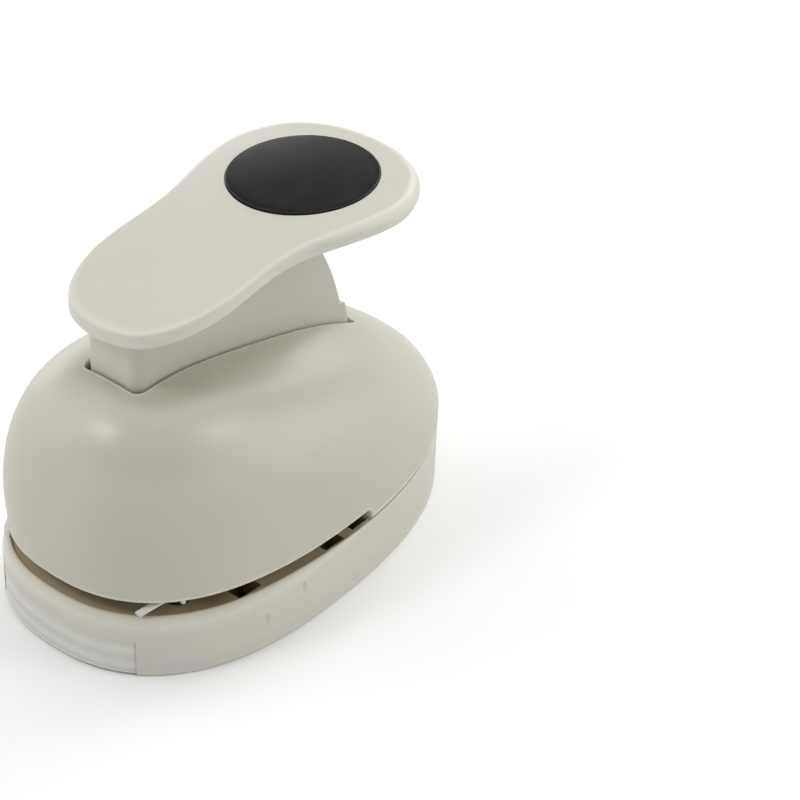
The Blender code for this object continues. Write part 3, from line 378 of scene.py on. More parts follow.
def rim_height(y):
    """Lower rim of the upper shell: low at the seam, high over the slot.

    Between them it follows a quarter of a superellipse of power 2.4.
    """
    run = np.clip((y - SLOT_END + SLOT_END_ROUND) / SLOT_END_ROUND, 0.0, 1.0)
    rise = (1 - run**SLOT_END_POWER) ** (1 / SLOT_END_POWER)
    return DOME_FOOT + (SLOT_TOP - DOME_FOOT) * rise


def dome_level(rise, y, shrink):
    top = DOME_TOP - shrink
    return DOME_WIDEST + (top - DOME_WIDEST) * rise - DOME_FALL * rise * (y + HALF_LENGTH)


def dome_ring(turn, rise, shrink=0.0):
    """Level ring of the dome: the footprint times (1 - rise^2)^(1 / 3.3), leaning to the nose.

    Over the slot it is also drawn in, by 2.8 per cent at the nose.
    """
    x, y = outline(turn, shrink)
    share = (1 - rise**2) ** (1 / DOME_POWER)
    share = share * (1 - DOME_INSET * smooth_step((SLOT_END - y) / DOME_INSET_TAPER))
    x, y = x * share, y * share + DOME_LEAN * rise
    return x, y, dome_level(rise, y, shrink)


def roof_height(x, y, shrink=0.0):
    """Height of the dome above (x, y): rise is halved in until its ring meets the place."""
    half_width, half_length = HALF_WIDTH - shrink, HALF_LENGTH - shrink
    low, high = np.zeros_like(x), np.ones_like(x)
    for _ in range(44):
        rise = (low + high) / 2
        share = np.maximum((1 - rise**2) ** (1 / DOME_POWER), 1e-6)
        flat_y = (y - DOME_LEAN * rise) / share
        for _ in range(3):
            inset = 1 - DOME_INSET * smooth_step((SLOT_END - flat_y) / DOME_INSET_TAPER)
            flat_y = (y - DOME_LEAN * rise) / (share * inset)
        along = flat_y / half_length
        across = x / (share * inset) / (half_width * (1 + EGG_SHARE * np.clip(along, -1.5, 1.5)))
        inside = np.abs(across) ** OUTLINE_POWER + np.abs(along) ** OUTLINE_POWER < 1
        low, high = np.where(inside, rise, low), np.where(inside, high, rise)
    return dome_level((low + high) / 2, y, shrink)


def slab_outline(turn, half, front, rear, front_round, rear_round):
    """Rounded rectangle and its outward normal at each share of a turn, from its right side.

    Each quarter spends 0.56 of its columns on the side, 0.2 on the corner and the rest on the end.
    """
    side_share, corner_share = 0.56, 0.2
    quarter = np.floor(turn * 4).astype(int) % 4
    local = turn * 4 - np.floor(turn * 4)
    step = np.where(quarter % 2 == 0, local, 1 - local)
    towards = np.where(quarter < 2, 1.0, -1.0)
    right = np.where((quarter == 0) | (quarter == 3), 1.0, -1.0)
    radius = np.where(quarter < 2, rear_round, front_round)
    end = np.where(quarter < 2, rear, front)
    middle = (np.asarray(front) + rear) / 2
    along = np.clip(step / side_share, 0.0, 1.0)
    angle = np.clip((step - side_share) / corner_share, 0.0, 1.0) * np.pi / 2
    back = np.clip((step - side_share - corner_share) / (1 - side_share - corner_share), 0.0, 1.0)
    x = right * (half - radius + radius * np.cos(angle)) * (1 - back)
    y = middle + (end - towards * radius - middle) * along + towards * radius * np.sin(angle)
    return x, y, right * np.cos(angle), towards * np.sin(angle)


def dome_skin():
    """Upper shell as one skin that goes up the outside, over the opening's edge and down inside."""
    turn = shell_turns()
    rows = []
    x, y, _ = dome_ring(turn, 0.0)
    foot = rim_height(outline(turn)[1])
    # The rim's round is painted paler, and the row above it nearly so: wear, and a painted
    # highlight
    for inset, lift in round_steps():
        rows.append(ring(*drawn_in(x, y, RIM_ROUND * inset), foot + RIM_ROUND * lift, 1.0))
    low = foot + RIM_ROUND
    for share in (0.08, 0.2, 0.4, 0.7, 1.0):
        rows.append(ring(x, y, low + (DOME_WIDEST - low) * share, 0.8 if share < 0.1 else 0.0))
    steps = np.sin(np.linspace(0.0, math.asin(DOME_SHOULDER), 36))
    for rise in steps[1:]:
        rows.append(ring(*dome_ring(turn, rise)))
    opening = slab_outline(turn, *OPENING)
    edge = moved_in(opening, -OPENING_ROUND)
    for share in np.linspace(0.0, 1.0, 22)[1:]:
        x, y = between(dome_ring(turn, DOME_SHOULDER), edge, share)
        rows.append(ring(x, y, roof_height(x, y), 1.0 if share > 0.999 else 0.0))
    # The opening's rolled edge is painted paler: wear, and a painted highlight
    for inset, drop in round_steps()[1:]:
        x, y = moved_in(opening, -OPENING_ROUND * inset)
        rows.append(ring(x, y, roof_height(x, y) - OPENING_ROUND * drop, 1.0))
    for share in np.linspace(0.0, 1.0, 8):
        x, y = between(opening, dome_ring(turn, DOME_SHOULDER, WALL), share)
        rows.append(ring(x, y, roof_height(x, y, WALL)))
    for rise in np.sin(np.linspace(math.asin(DOME_SHOULDER), 0.0, 14))[1:]:
        rows.append(ring(*dome_ring(turn, rise, WALL)))
    x, y, _ = dome_ring(turn, 0.0, WALL)
    rows.append(ring(x, y, foot))
    return skin(rows, loop=True)


def cheek_skin(side):
    """Wall beside the opening with the hinge pin's bore: a sloped block round a cylinder."""
    front, rear, low = HINGE_Y - 5.0 * MM, HINGE_Y + 3.6 * MM, HINGE_Z - 4.6 * MM
    inner, outer, high = 6.5 * MM, 9.3 * MM, 40.0 * MM
    count = 12
    step = np.linspace(0.0, 1.0, count, endpoint=False)
    run = (rear - front) * step
    y = np.concatenate((front + run, np.full(count, rear), rear - run, np.full(count, front)))
    lift = np.concatenate((np.zeros(count), step, np.ones(count), 1 - step))
    angle = np.arctan2(low + (high - low) * lift - HINGE_Z, y - HINGE_Y)
    bore = circle((HINGE_Y, HINGE_Z), HINGE_BORE, angle)
    rows = []
    for x in (inner, outer):
        top = roof_height(np.full(len(y), x), y, WALL) + ROOF_SINK
        rows.append(ring(side * x, y, low + (top - low) * lift))
    rows += [ring(side * x, *bore) for x in (outer, inner)]
    return skin(rows, loop=True)


def boss_skin(spot):
    """Screw boss under the dome: a bored cylinder whose top runs into the wall."""
    angle = full_turn(48)
    bore = ((0.0, BOSS_BORE_TOP), (SCREW_BORE, BOSS_BORE_TOP), (SCREW_BORE, DOME_FOOT))
    profile = (*bore, (BOSS_RADIUS, DOME_FOOT))
    rows = [ring(*circle(spot, radius, angle), z) for radius, z in profile]
    for radius in (BOSS_RADIUS, 0.0):
        x, y = circle(spot, radius, angle)
        rows.append(ring(x, y, roof_height(x, y, WALL) + ROOF_SINK))
    return skin(rows)


SCREW_SPOTS = ((-13.0 * MM, 19.5 * MM), (13.0 * MM, 19.5 * MM), (0.0, 32.5 * MM))


def make_upper_shell():
    skins = [dome_skin()]
    skins += [cheek_skin(side) for side in (-1, 1)]
    skins += [boss_skin(spot) for spot in SCREW_SPOTS]
    x, y, radius, low, high = (value * MM for value in RIM_NUB)
    skins.append(rod(radius, (x, y), low, high, 16))
    return add_piece("upper_shell_skin", skins)


def ledge_round(y):
    """Edge radius of the deck: wide at the nose, almost none behind the slot."""
    return SEAM_ROUND + (LEDGE_ROUND - SEAM_ROUND) * smooth_step((SLOT_END - y) / LEDGE_TAPER)


def base_skin():
    """Lower shell: up the outside from the foot, over the ledge and deck, and down its cavity."""
    turn = np.arange(SHELL_COLUMNS) / SHELL_COLUMNS
    x, y = outline(turn)
    inner, middle = drawn_in(x, y, WALL), (0.0, 0.0)
    rows = [pole(x, *middle, CAVITY_TOP)]
    rows += [ring(*between(middle, inner, share), CAVITY_TOP) for share in (0.5, 1.0)]
    rows += [ring(*inner, z) for z in (CAVITY_TOP / 2, 0.0)]
    # The foot's round is painted paler: wear, and a painted highlight
    for inset, lift in round_steps():
        rows.append(ring(*drawn_in(x, y, FOOT_ROUND * inset), FOOT_ROUND * lift, 1.0))
    round_here = ledge_round(y)
    for share in np.linspace(0.0, 1.0, 8)[1:-1]:
        rows.append(ring(x, y, FOOT_ROUND + (DECK - round_here - FOOT_ROUND) * share))
    width = SEAM_ROUND + (round_here - SEAM_ROUND) * LEDGE_WIDTH_SHARE
    # Mask of the slot's painted shade, fading in towards the nose
    slot = smooth_step((SLOT_END - y) / SLOT_FADE)
    # The ledge's round gets a painted highlight band on its bead, and a painted shade on its crest
    # that darkens into the slot
    for drop, bend in round_steps(14):
        bead_highlight = math.exp(-(((drop - 0.55) / 0.3) ** 2))
        wear_and_painted_light = bead_highlight - 0.6 * slot * smooth_step((bend - 0.15) / 0.85)
        rows.append(ring(*drawn_in(x, y, width * bend), DECK - round_here * drop, wear_and_painted_light))
    fall = TROUGH_DEPTH * smooth_step((SLOT_END - 1.0 * MM - y) / (6.0 * MM))
    # The trough and the deck in the slot carry the slot's painted shade
    for share in np.linspace(0.0, 1.0, 7)[1:]:
        edge = drawn_in(x, y, width + TROUGH_RUN * share)
        level = DECK - fall * smooth_step(share)
        rows.append(ring(*edge, level, -slot * (0.6 + 0.4 * share)))
    for share, level in ((0.93, DECK - fall), (0.85, DECK - fall), (0.5, DECK)):
        rows.append(ring(*between(middle, edge, share), level, -slot))
    rows.append(pole(x, *middle, DECK))
    return skin(rows)


DIE_SCREW_SPOTS = tuple((x * MM, y * MM) for y in (-27.7, 1.2) for x in (-14.0, 14.0))
FRAME_SCREW_SPOTS = ((-12.0 * MM, 8.0 * MM), (12.0 * MM, 8.0 * MM))
DIMPLES = ((-11.1 * MM, 7.5 * MM), (-19.0 * MM, 5.4 * MM))


def recess_skin():
    """Rounded pocket that holds the die plate: a rounded rectangle carried upward."""
    turn = np.arange(96) / 96
    x, y, _, _ = slab_outline(turn, 17.3 * MM, -30.8 * MM, 4.3 * MM, WALL, WALL)
    low, high, middle = 8.9 * MM, 14.8 * MM, (0.0, -13.0 * MM)
    return skin([pole(x, *middle, low), ring(x, y, low), ring(x, y, high), pole(x, *middle, high)])


def rod(radius, spot, low, high, columns=48):
    return turned(((0.0, low), (radius, low), (radius, high), (0.0, high)), spot, columns)


def dimple_skin(side, y, z):
    """Shallow upright dimple in the flank: a ball drawn out in height, half sunk in the wall."""
    x, _ = outline(turn_at(y))
    depth, half, tall, out = 1.0 * MM, 0.9 * MM, 1.5 * MM, 0.5 * MM
    angle = full_turn(32)
    rows = []
    for lift in np.linspace(-np.pi / 2, np.pi / 2, 17):
        reach = math.cos(lift)
        row_x = side * (x + out + depth * reach * np.cos(angle))
        rows.append(ring(row_x, y + half * reach * np.sin(angle), z + tall * math.sin(lift), 0.5))
    return skin(rows)


def base_cutters():
    """Mouth of the tray, pocket of the die, gaps in the ledge, dimples and the holes of the screws.

    They make two cutters, so that no shape of a cutter overlaps another.
    """
    low = (-MOUTH_HALF_WIDTH, -60.0 * MM, -4.0 * MM)
    high = (MOUTH_HALF_WIDTH, -34.0 * MM, MOUTH_TOP)
    skins = [block(low, high), recess_skin()]
    for side in (-1, 1):
        for front, rear, outer in CELLS:
            low, high = sorted((side * CELL_INNER, side * outer * MM))
            foot = CAVITY_TOP - 0.4 * MM
            # Cell walls carry -2, their painted brown shade
            skins.append(block((low, front * MM, foot), (high, rear * MM, CUT_TOP), -2.0))
        skins += [dimple_skin(side, y, z) for y, z in DIMPLES]
    foot = 5.0 * MM
    skins += [rod(SCREW_BORE, spot, foot, CUT_TOP) for spot in SCREW_SPOTS]
    skins += [rod(SMALL_BORE, spot, foot, CUT_TOP) for spot in FRAME_SCREW_SPOTS]
    under_die = [rod(CUTTER_BORE, (0.0, -14.0 * MM), 6.0 * MM, CUT_TOP, 96)]
    under_die += [rod(SMALL_BORE, spot, foot, CUT_TOP) for spot in DIE_SCREW_SPOTS]
    return [add_piece("base_cutter", group) for group in (skins, under_die)]


def column_skin(spot):
    """Screw column under the deck: a stepped bore inside a cylinder."""
    profile = ((3.7, 7.0), (3.7, 0.4), (2.8, 0.4), (2.8, 3.4), (1.55, 3.4), (1.55, 7.0))
    return turned([(radius * MM, z * MM) for radius, z in profile], spot, 64, loop=True)


def mark_cuts(mesh):
    """Wear and painted light of the cut shell by place: new deck points in the slot get its painted
    shade, and the cells -2, a painted brown shade.

    It is kept on the corners of the faces, so that a cell's painted dark wall ends at its edge. A
    painted shade near the nose darkens the deck at both sides.
    """
    x, y, z = values_of(mesh.vertices, "co", 3)
    wear_and_painted_light = values_of(mesh.attributes["wear_and_painted_light"].data, "value")
    # New deck points in the slot get the slot's painted shade
    wear_and_painted_light = np.where((wear_and_painted_light == 0) & (z > 10.0 * MM), -smooth_step((SLOT_END - y) / SLOT_FADE), wear_and_painted_light)
    # Painted shade near the nose, at both sides of the deck
    stain_and_shade = np.exp(-(((y - NOSE_SHADE_Y) / (3.0 * MM)) ** 2))
    stain_and_shade = stain_and_shade * smooth_step((np.abs(x) - 15.0 * MM) / (2.0 * MM))
    wear_and_painted_light = np.where(wear_and_painted_light < -0.9, wear_and_painted_light - NOSE_SHADE_SHARE * stain_and_shade, wear_and_painted_light)
    x, y, z = values_of(mesh.polygons, "center", 3)
    reach = np.abs(x)
    walls = np.zeros(len(mesh.polygons), dtype=bool)
    for front, rear, outer in CELLS:
        across = (reach > CELL_INNER - NEAR) & (reach < outer * MM + NEAR)
        walls |= across & (y > front * MM - NEAR) & (y < rear * MM + NEAR) & (z > 6.3 * MM)
    counts = values_of(mesh.polygons, "loop_total").astype(int)
    owners = values_of(mesh.loops, "vertex_index").astype(int)
    value = np.where(np.repeat(walls, counts), -2.0, wear_and_painted_light[owners]).astype(np.float32)
    mesh.attributes.remove(mesh.attributes["wear_and_painted_light"])
    mesh.attributes.new("wear_and_painted_light", "FLOAT", "CORNER").data.foreach_set("value", value)


def make_base_shell():
    base = add_piece("base_shell_skin", [base_skin()])
    carve(base, base_cutters())
    mark_cuts(base.data)
    skins = [column_skin(spot) for spot in SCREW_SPOTS]
    for side in (-1, 1):
        for inner, outer, rear, top in ((15.55, 16.95, 14.8, 7.0), (12.2, 15.9, 13.7, 1.4)):
            low, high = sorted((side * inner * MM, side * outer * MM))
            skins.append(block((low, -33.8 * MM, FOOT_ROUND), (high, rear * MM, top * MM)))
    skins.append(block((-16.95 * MM, 13.7 * MM, FOOT_ROUND), (16.95 * MM, 15.1 * MM, 7.0 * MM)))
    return [base, add_piece("base_ribs_skin", skins)]


def plate_height(x, y):
    """Top of the lever plate: straight at the pad, drooping to the nose, crowned across.

    z = 61 + 0.0717 (y - 15) - 0.108 min(0, y - 15)^2 / 42 - 0.65 |x / 18.4|^4, in millimetres.
    """
    past = np.minimum(0.0, y - PAD_Y)
    crown = PLATE_CROWN * np.abs(x / PLATE_HALF_WIDTH) ** 4
    return PAD_Z + PLATE_SLOPE * (y - PAD_Y) - PLATE_DROOP * past**2 / HALF_LENGTH - crown


def plate_outline():
    """Smooth closed edge of the lever plate, evenly spaced, with its outward normal.

    Each new point between two is 9/16 of both less 1/16 of the next pair; the edge is then
    softened with a bell curve 0.9 mm wide.
    """
    along, across = np.array(PLATE_OUTLINE).T
    y = PLATE_FRONT + (PLATE_REAR - PLATE_FRONT) * along
    right = np.stack((PLATE_HALF_WIDTH * across, y), axis=-1)
    points = np.concatenate((right, (right * (-1.0, 1.0))[-2:0:-1]))
    for _ in range(4):
        before, after, beyond = (np.roll(points, step, axis=0) for step in (1, -1, -2))
        between = (9 * (points + after) - before - beyond) / 16
        points = np.stack((points, between), axis=1).reshape(-1, 2)
    return even_loop(points, LEVER_COLUMNS, 0.9 * MM)


def evenly(points, columns):
    """x and y of a closed line at even spaces, and its length."""
    closed = np.concatenate((points, points[:1]))
    length = np.concatenate(((0.0,), np.cumsum(np.hypot(*np.diff(closed, axis=0).T))))
    place = np.arange(columns) / columns * length[-1]
    return [np.interp(place, length, line) for line in closed.T], length[-1]


def even_loop(points, columns, softness):
    """Closed line spaced evenly, softened with a bell curve, with its outward normal."""
    (x, y), length = evenly(points, columns)
    wave = np.fft.fftfreq(columns, length / columns)
    fade = np.exp(-2 * (np.pi * wave * softness) ** 2)
    x, y = (np.fft.ifft(np.fft.fft(line) * fade).real for line in (x, y))
    step_x, step_y = np.roll(x, -1) - np.roll(x, 1), np.roll(y, -1) - np.roll(y, 1)
    reach = np.hypot(step_x, step_y)
    return x, y, step_y / reach, -step_x / reach


def pad_place(reach, angle, up):
    """Place in the tilted plane of the pad: reach is from its middle, and angle from its rear."""
    tilt = math.atan(PLATE_SLOPE)
    along = reach * np.cos(angle)
    y = PAD_Y + along * math.cos(tilt) - up * math.sin(tilt)
    return reach * np.sin(angle), y, PAD_Z + along * math.sin(tilt) + up * math.cos(tilt)


def plate_skin():
    """Lever plate: from under the pad out to the edge, round it, and in to the pad's recess."""
    plan = plate_outline()
    x, y, _, _ = plan
    angle = np.arctan2(x, y - PAD_Y)
    soft = smooth_step((y + 8.0 * MM) / (24.0 * MM))
    soft = PLATE_ROUND + (PLATE_SOFT_ROUND - PLATE_ROUND) * soft
    rows = [pole(x, 0.0, PAD_Y, plate_height(0.0, PAD_Y) - PLATE_THICKNESS)]

    def add_row(x, y, drop, wear_and_painted_light=0.0):
        rows.append(ring(x, y, plate_height(x, y) - drop, wear_and_painted_light))

    under = moved_in(plan, PLATE_ROUND)
    for share in np.linspace(0.0, 1.0, 12)[1:]:
        add_row(*between((0.0, PAD_Y), under, share), PLATE_THICKNESS)
    # The plate's edge rounds and the brim of the pad's recess are painted paler: wear, and a
    # painted highlight
    for inset, lift in round_steps(6)[1:]:
        add_row(*moved_in(plan, PLATE_ROUND * inset), PLATE_THICKNESS - PLATE_ROUND * lift, 1.0)
    for drop, bend in round_steps(9):
        add_row(*moved_in(plan, soft * bend), soft * drop, 1.0)
    start, edge = rows[-1].T, 0.2 * MM
    brim = pad_place(PAD_SEAT + edge, angle, 0.0)
    for share in np.linspace(0.0, 1.0, 24)[1:]:
        add_row(*between(start, brim, share), 0.0, 1.0 if share > 0.999 else 0.0)
    for inset, drop in round_steps()[1:]:
        add_row(*pad_place(PAD_SEAT + edge * inset, angle, 0.0)[:2], edge * drop, 1.0)
    for share in (1.0, 0.97, 0.5, 0.0):
        rows.append(ring(*pad_place(PAD_SEAT * share, angle, -PAD_DEPTH)))
    return skin(rows)


def stem_bottom(y):
    """Foot of the stem: round the hinge, over the roller and up to its heel."""
    places = np.array((-26.9, -19.6, -18.8, -17.5, -8.2, 19.6)) * MM
    return np.interp(y, places, np.array((24.6, 24.6, 27.0, 29.0, 29.0, 31.0)) * MM)


def stem_ring(turn, share, inset):
    """Row of the stem at this share of its height.

    Its rear follows a circle round the hinge, with the heel standing proud below 38 mm.
    """
    half, front = STEM_HALF_WIDTH - inset, STEM_FRONT + inset
    round_here = max(STEM_ROUND - inset, 0.7 * MM)
    rear = np.full(len(turn), 19.0 * MM)
    for _ in range(4):
        x, y, out_x, _ = slab_outline(turn, half, front, rear, round_here, 0.5 * MM)
        top = plate_height(0.0, y) - STEM_SINK - inset
        z = stem_bottom(y) + (top - stem_bottom(y)) * share
        heel = 0.0 if inset else HEEL_REACH * (1 - smooth_step((z - HEEL_TOP) / HEEL_SLOPE))
        rear = HINGE_Y + np.sqrt((STEM_REACH - inset + heel) ** 2 - (z - HINGE_Z) ** 2)
    # The sides take a painted shade, strongest where they face across under the plate
    return ring(x, y, z, -STEM_SHADE * np.abs(out_x))


def stem_skin():
    """Hollow stem: from its inner roof down inside, and up the outside to its top in the plate."""
    turn = np.arange(192) / 192
    spans = ((0.0, 0.24, 6), (0.246, 0.275, 6), (0.32, 1.0, 16))
    shares = np.concatenate([np.linspace(*span) for span in spans])
    rows = [stem_ring(turn, share, STEM_WALL) for share in shares[::-3]]
    rows += [stem_ring(turn, share, 0.0) for share in shares]
    return capped(rows)


def lip_skin():
    """Rest lip behind the stem's foot: a bent bar between two circles round the hinge."""
    half = STEM_HALF_WIDTH - STEM_WALL
    corners = []
    for reach, z in ((41.4, 29.4), (45.6, 29.4), (45.6, 31.15), (41.4, 31.15)):
        corners.append((HINGE_Y + math.sqrt((reach * MM) ** 2 - (z * MM - HINGE_Z) ** 2), z * MM))
    y, z = np.array(corners).T
    return capped([ring(-half, y, z), ring(half, y, z)])


def make_lever():
    """Plate, hollow stem, hinge boss and lip of the lever."""
    stem = add_piece("lever_stem_skin", [stem_skin()])
    reach, boss_radius = 12.0 * MM, 3.0 * MM
    bores = ((HINGE_BORE, HINGE_Y, HINGE_Z), (SMALL_BORE, ROLLER_Y, ROLLER_Z))
    carve(stem, [add_piece("stem_bore", [rod_x(radius, reach, y, z)]) for radius, y, z in bores])
    half = STEM_HALF_WIDTH - 0.2 * MM
    tube = ((-half, boss_radius), (half, boss_radius), (half, HINGE_BORE), (-half, HINGE_BORE))
    boss = turned_x(tube, HINGE_Y, HINGE_Z, 64, loop=True)
    plate = add_piece("lever_plate_skin", [plate_skin()])
    inner = add_piece("lever_boss_skin", [boss, lip_skin()])
    return [plate, stem, inner]


def make_pad():
    """Thumb pad: a flat disc with a softly rolled rim, in the tilted plane of its recess."""
    low, roll = -0.6 * MM, 0.2 * MM
    profile = [(0.0, low, 0.0), (PAD_RADIUS, low, 0.0)]
    # The rolled rim takes the pad's edge colour, darker and glossier
    for drop, bend in round_steps(7):
        profile.append((PAD_RADIUS - roll * bend, PAD_RISE - roll * drop, 1.0))
    for share in (0.9, 0.75, 0.5, 0.25, 0.0):
        profile.append(((PAD_RADIUS - roll) * share, PAD_RISE + PAD_CROWN * (1 - share**2), 0.0))
    rows = [ring(*pad_place(radius, full_turn(192), up), wear_and_painted_light) for radius, up, wear_and_painted_light in profile]
    return add_piece("thumb_pad_disc", [skin(rows)])


def tray_outline():
    """Plan of the tray, evenly spaced: the footprint's nose between two straight sides."""
    x, y = outline(np.linspace(0.5, 1.0, 2001))
    nose = np.stack(drawn_in(x, y, TRAY_INSET), axis=-1)
    nose = nose[np.abs(nose[:, 0]) < TRAY_HALF_WIDTH]
    ends = [(side * TRAY_HALF_WIDTH, TRAY_REAR) for side in (1, -1)]
    points = np.stack(evenly(np.concatenate((nose, ends)), 4000)[0], axis=-1)
    return even_loop(points, TRAY_COLUMNS, 0.3 * MM)


def ridge_height(z):
    """Soft bands across the tray's nose: 1 on a ridge and 0 in a hollow, along a cosine in height.

    The ridges stand at 28 and 74 per cent of the way down.
    """
    down = (TRAY_TOP - z) / (TRAY_TOP - TRAY_LIP_FOOT)
    return 0.5 + 0.5 * np.cos(2 * np.pi * (down - TRAY_BAND_START) / TRAY_BAND_STEP)


def tray_inside(plan, step):
    """Plan of the tray moved in by step, kept off its sides, rear and nose, and evenly spaced."""
    moved_x, moved_y = moved_in(plan, step)
    nose = np.flatnonzero(plan[3] < -0.8)
    nose = nose[np.argsort(moved_x[nose])]
    x = np.clip(moved_x, step - TRAY_HALF_WIDTH, TRAY_HALF_WIDTH - step)
    front = np.interp(x, moved_x[nose], moved_y[nose])
    line = np.stack((x, np.clip(moved_y, front, TRAY_REAR - step)), axis=-1)
    x, y, _, _ = even_loop(line, TRAY_COLUMNS, 0.15 * MM)
    return x, y


def make_tray():
    """Tray: under its floor to the wall, up it past the ridges, over its brim and down inside."""
    plan = tray_outline()
    x, y, _, _ = plan
    foot = TRAY_FOOT + (TRAY_LIP_FOOT - TRAY_FOOT) * smooth_step((-36.6 * MM - y) / (0.8 * MM))
    middle = (0.0, TRAY_MIDDLE)
    rows = [pole(x, *middle, TRAY_FOOT)]
    lip = tray_inside(plan, TRAY_LIP_WALL - TRAY_EDGE)
    rows += [ring(*between(middle, lip, share), TRAY_FOOT) for share in (0.5, 0.8, 0.95, 1.0)]
    rows.append(ring(*lip, foot))
    # The tray's edges are painted paler: wear, and a painted highlight
    for inset, lift in round_steps():
        rows.append(ring(*moved_in(plan, TRAY_EDGE * inset), foot + TRAY_EDGE * lift, 1.0))
    low, high = foot + TRAY_EDGE, TRAY_TOP - TRAY_EDGE
    for share in np.linspace(0.0, 1.0, 49)[1:-1]:
        z = low + (high - low) * share
        # Ridges are painted paler than the hollows: painted light bands along the ridges
        height = ridge_height(z)
        depth = TRAY_RIDGE * (1 - height) * smooth_step((-33.0 * MM - y) / MM)
        rows.append(ring(*moved_in(plan, depth), z, 0.9 * height))
    for drop, bend in round_steps():
        rows.append(ring(*moved_in(plan, TRAY_EDGE * bend), TRAY_TOP - TRAY_EDGE * drop, 1.0))
    for inset, lift in round_steps():
        brim = tray_inside(plan, TRAY_WALL - TRAY_EDGE * inset)
        rows.append(ring(*brim, TRAY_TOP - TRAY_EDGE * lift, 1.0))
    floor = TRAY_FOOT + TRAY_FLOOR
    for inset, lift in round_steps():
        corner = tray_inside(plan, TRAY_WALL + TRAY_TURN_IN * (1 - inset))
        rows.append(ring(*corner, floor + TRAY_TURN_IN * (1 - lift)))
    rows += [ring(*between(middle, corner, share), floor) for share in (0.97, 0.8, 0.5)]
    rows.append(pole(x, *middle, floor))
    return add_piece("chip_tray_pan", [skin(rows)])


def finger_skin(side):
    """Bent leaf over the slot: a rounded bar carried along a curve through three places."""
    shares = np.array(((0.690, -0.633, 0.115), (0.662, -0.800, 0.173), (0.603, -0.874, 0.731)))
    size = np.array((HALF_WIDTH, HALF_LENGTH, -2.6 * MM))
    a, b, c = shares * size + (0.0, 0.0, SLOT_TOP)
    step = np.linspace(0.0, 1.0, 24)[:, None]
    middle = 2 * b - (a + c) / 2
    soft = (1 - step) ** 2 * a + 2 * step * (1 - step) * middle + step**2 * c
    turn = np.arange(32) / 32
    half, thick, edge = 0.65 * MM, 0.25 * MM, 0.2 * MM
    across, up, _, _ = slab_outline(turn, half, -thick, thick, edge, edge)
    return capped([ring(side * (x + across), y, z + up, 0.3) for x, y, z in soft])


def screw_skin(spot):
    """Pan-head screw seen from below: a turned profile whose crown has a cross cut into it.

    The cross is 0.6 mm deep where |x| or |y| is under 0.3 mm within 1.45 mm of the axis, and both
    its edges are soft.
    """
    angle = full_turn(96)
    seat, head, height, depth = 3.1 * MM, 2.5 * MM, 1.8 * MM, 0.6 * MM
    shank = ((0.0, 18.8), (0.75, 18.8), (1.25, 17.6), (1.25, 3.1))
    rows = [ring(*circle(spot, radius * MM, angle), z * MM) for radius, z in shank]
    rows += [ring(*circle(spot, head, angle), z, 1.0) for z in (seat, seat - 0.55 * height)]
    for share in np.linspace(0.97, 0.0, 26):
        radius = head * share
        x, y = circle((0.0, 0.0), radius, angle)
        crown = seat - height + 0.45 * height * share**4
        arm = np.minimum(np.abs(x), np.abs(y))
        inside = smooth_step((0.42 * MM - arm) / (0.12 * MM))
        inside = inside * smooth_step((1.6 * MM - radius) / (0.15 * MM))
        rows.append(ring(spot[0] + x, spot[1] + y, crown + depth * inside, 1.0 - inside))
    return skin(rows)


def spring_skin(side):
    """Return spring: a wire carried up an even helix and closed at both ends."""
    step = np.linspace(0.0, 1.0, 24 * SPRING_CURLS + 1)
    height = SPRING_FOOT + (SPRING_TOP - SPRING_FOOT) * step
    wire = full_turn(12)
    reach = SPRING_RADIUS + SPRING_WIRE * np.cos(wire)
    rows = []
    for angle, z in zip(2 * np.pi * SPRING_CURLS * step, height):
        x, y = circle((side * SPRING_X, SPRING_Y), reach, angle)
        rows.append(ring(x, y, z + SPRING_WIRE * np.sin(wire)))
    return capped(rows)


def new_material(name):
    """Material, its node tree and its shader."""
    material = bpy.data.materials.new(name)
    material.use_nodes = True
    tree = material.node_tree
    return material, tree, tree.nodes["Principled BSDF"]


def new_group(name, colors, numbers):
    """Node group with colour and number inputs that puts out colour, roughness and normal."""
    group = bpy.data.node_groups.new(name, "ShaderNodeTree")
    sockets = [("INPUT", word, "Color") for word in colors]
    sockets += [("INPUT", word, "Float") for word in numbers]
    kinds = {"Color": "Color", "Roughness": "Float", "Normal": "Vector"}
    sockets += [("OUTPUT", word, kind) for word, kind in kinds.items()]
    for way, word, kind in sockets:
        group.interface.new_socket(word, in_out=way, socket_type="NodeSocket" + kind)
    return group, group.nodes.new("NodeGroupInput").outputs, group.nodes.new("NodeGroupOutput")


def joined(tree, socket, value):
    """Sets a socket to a number, or links another socket to it."""
    if isinstance(value, (int, float, tuple)):
        socket.default_value = value
    else:
        tree.links.new(value, socket)


def filled(tree, node, values):
    """The outputs of a node, once its inputs have these values, by name or in order."""
    for word, value in values.items() if isinstance(values, dict) else enumerate(values):
        joined(tree, node.inputs[word], value)
    return node.outputs


def node_of(tree, kind, values=(), operation=None):
    """The outputs of a new node with these inputs."""
    node = tree.nodes.new("ShaderNode" + kind)
    if operation:
        node.operation = operation
    return filled(tree, node, values)


def sum_of(tree, kind, first, second):
    return node_of(tree, "Math", (first, second), kind)[0]


def blend_of(tree, share, first, second):
    node = tree.nodes.new("ShaderNodeMix")
    node.data_type = "RGBA"
    for word, value in (("Factor", share), ("A", first), ("B", second)):
        socket = [one for one in node.inputs if one.name == word and one.enabled][0]
        joined(tree, socket, value)
    return [one for one in node.outputs if one.enabled][0]


def span_of(tree, value, low, high, to_low, to_high):
    return node_of(tree, "MapRange", (value, low, high, to_low, to_high))["Result"]


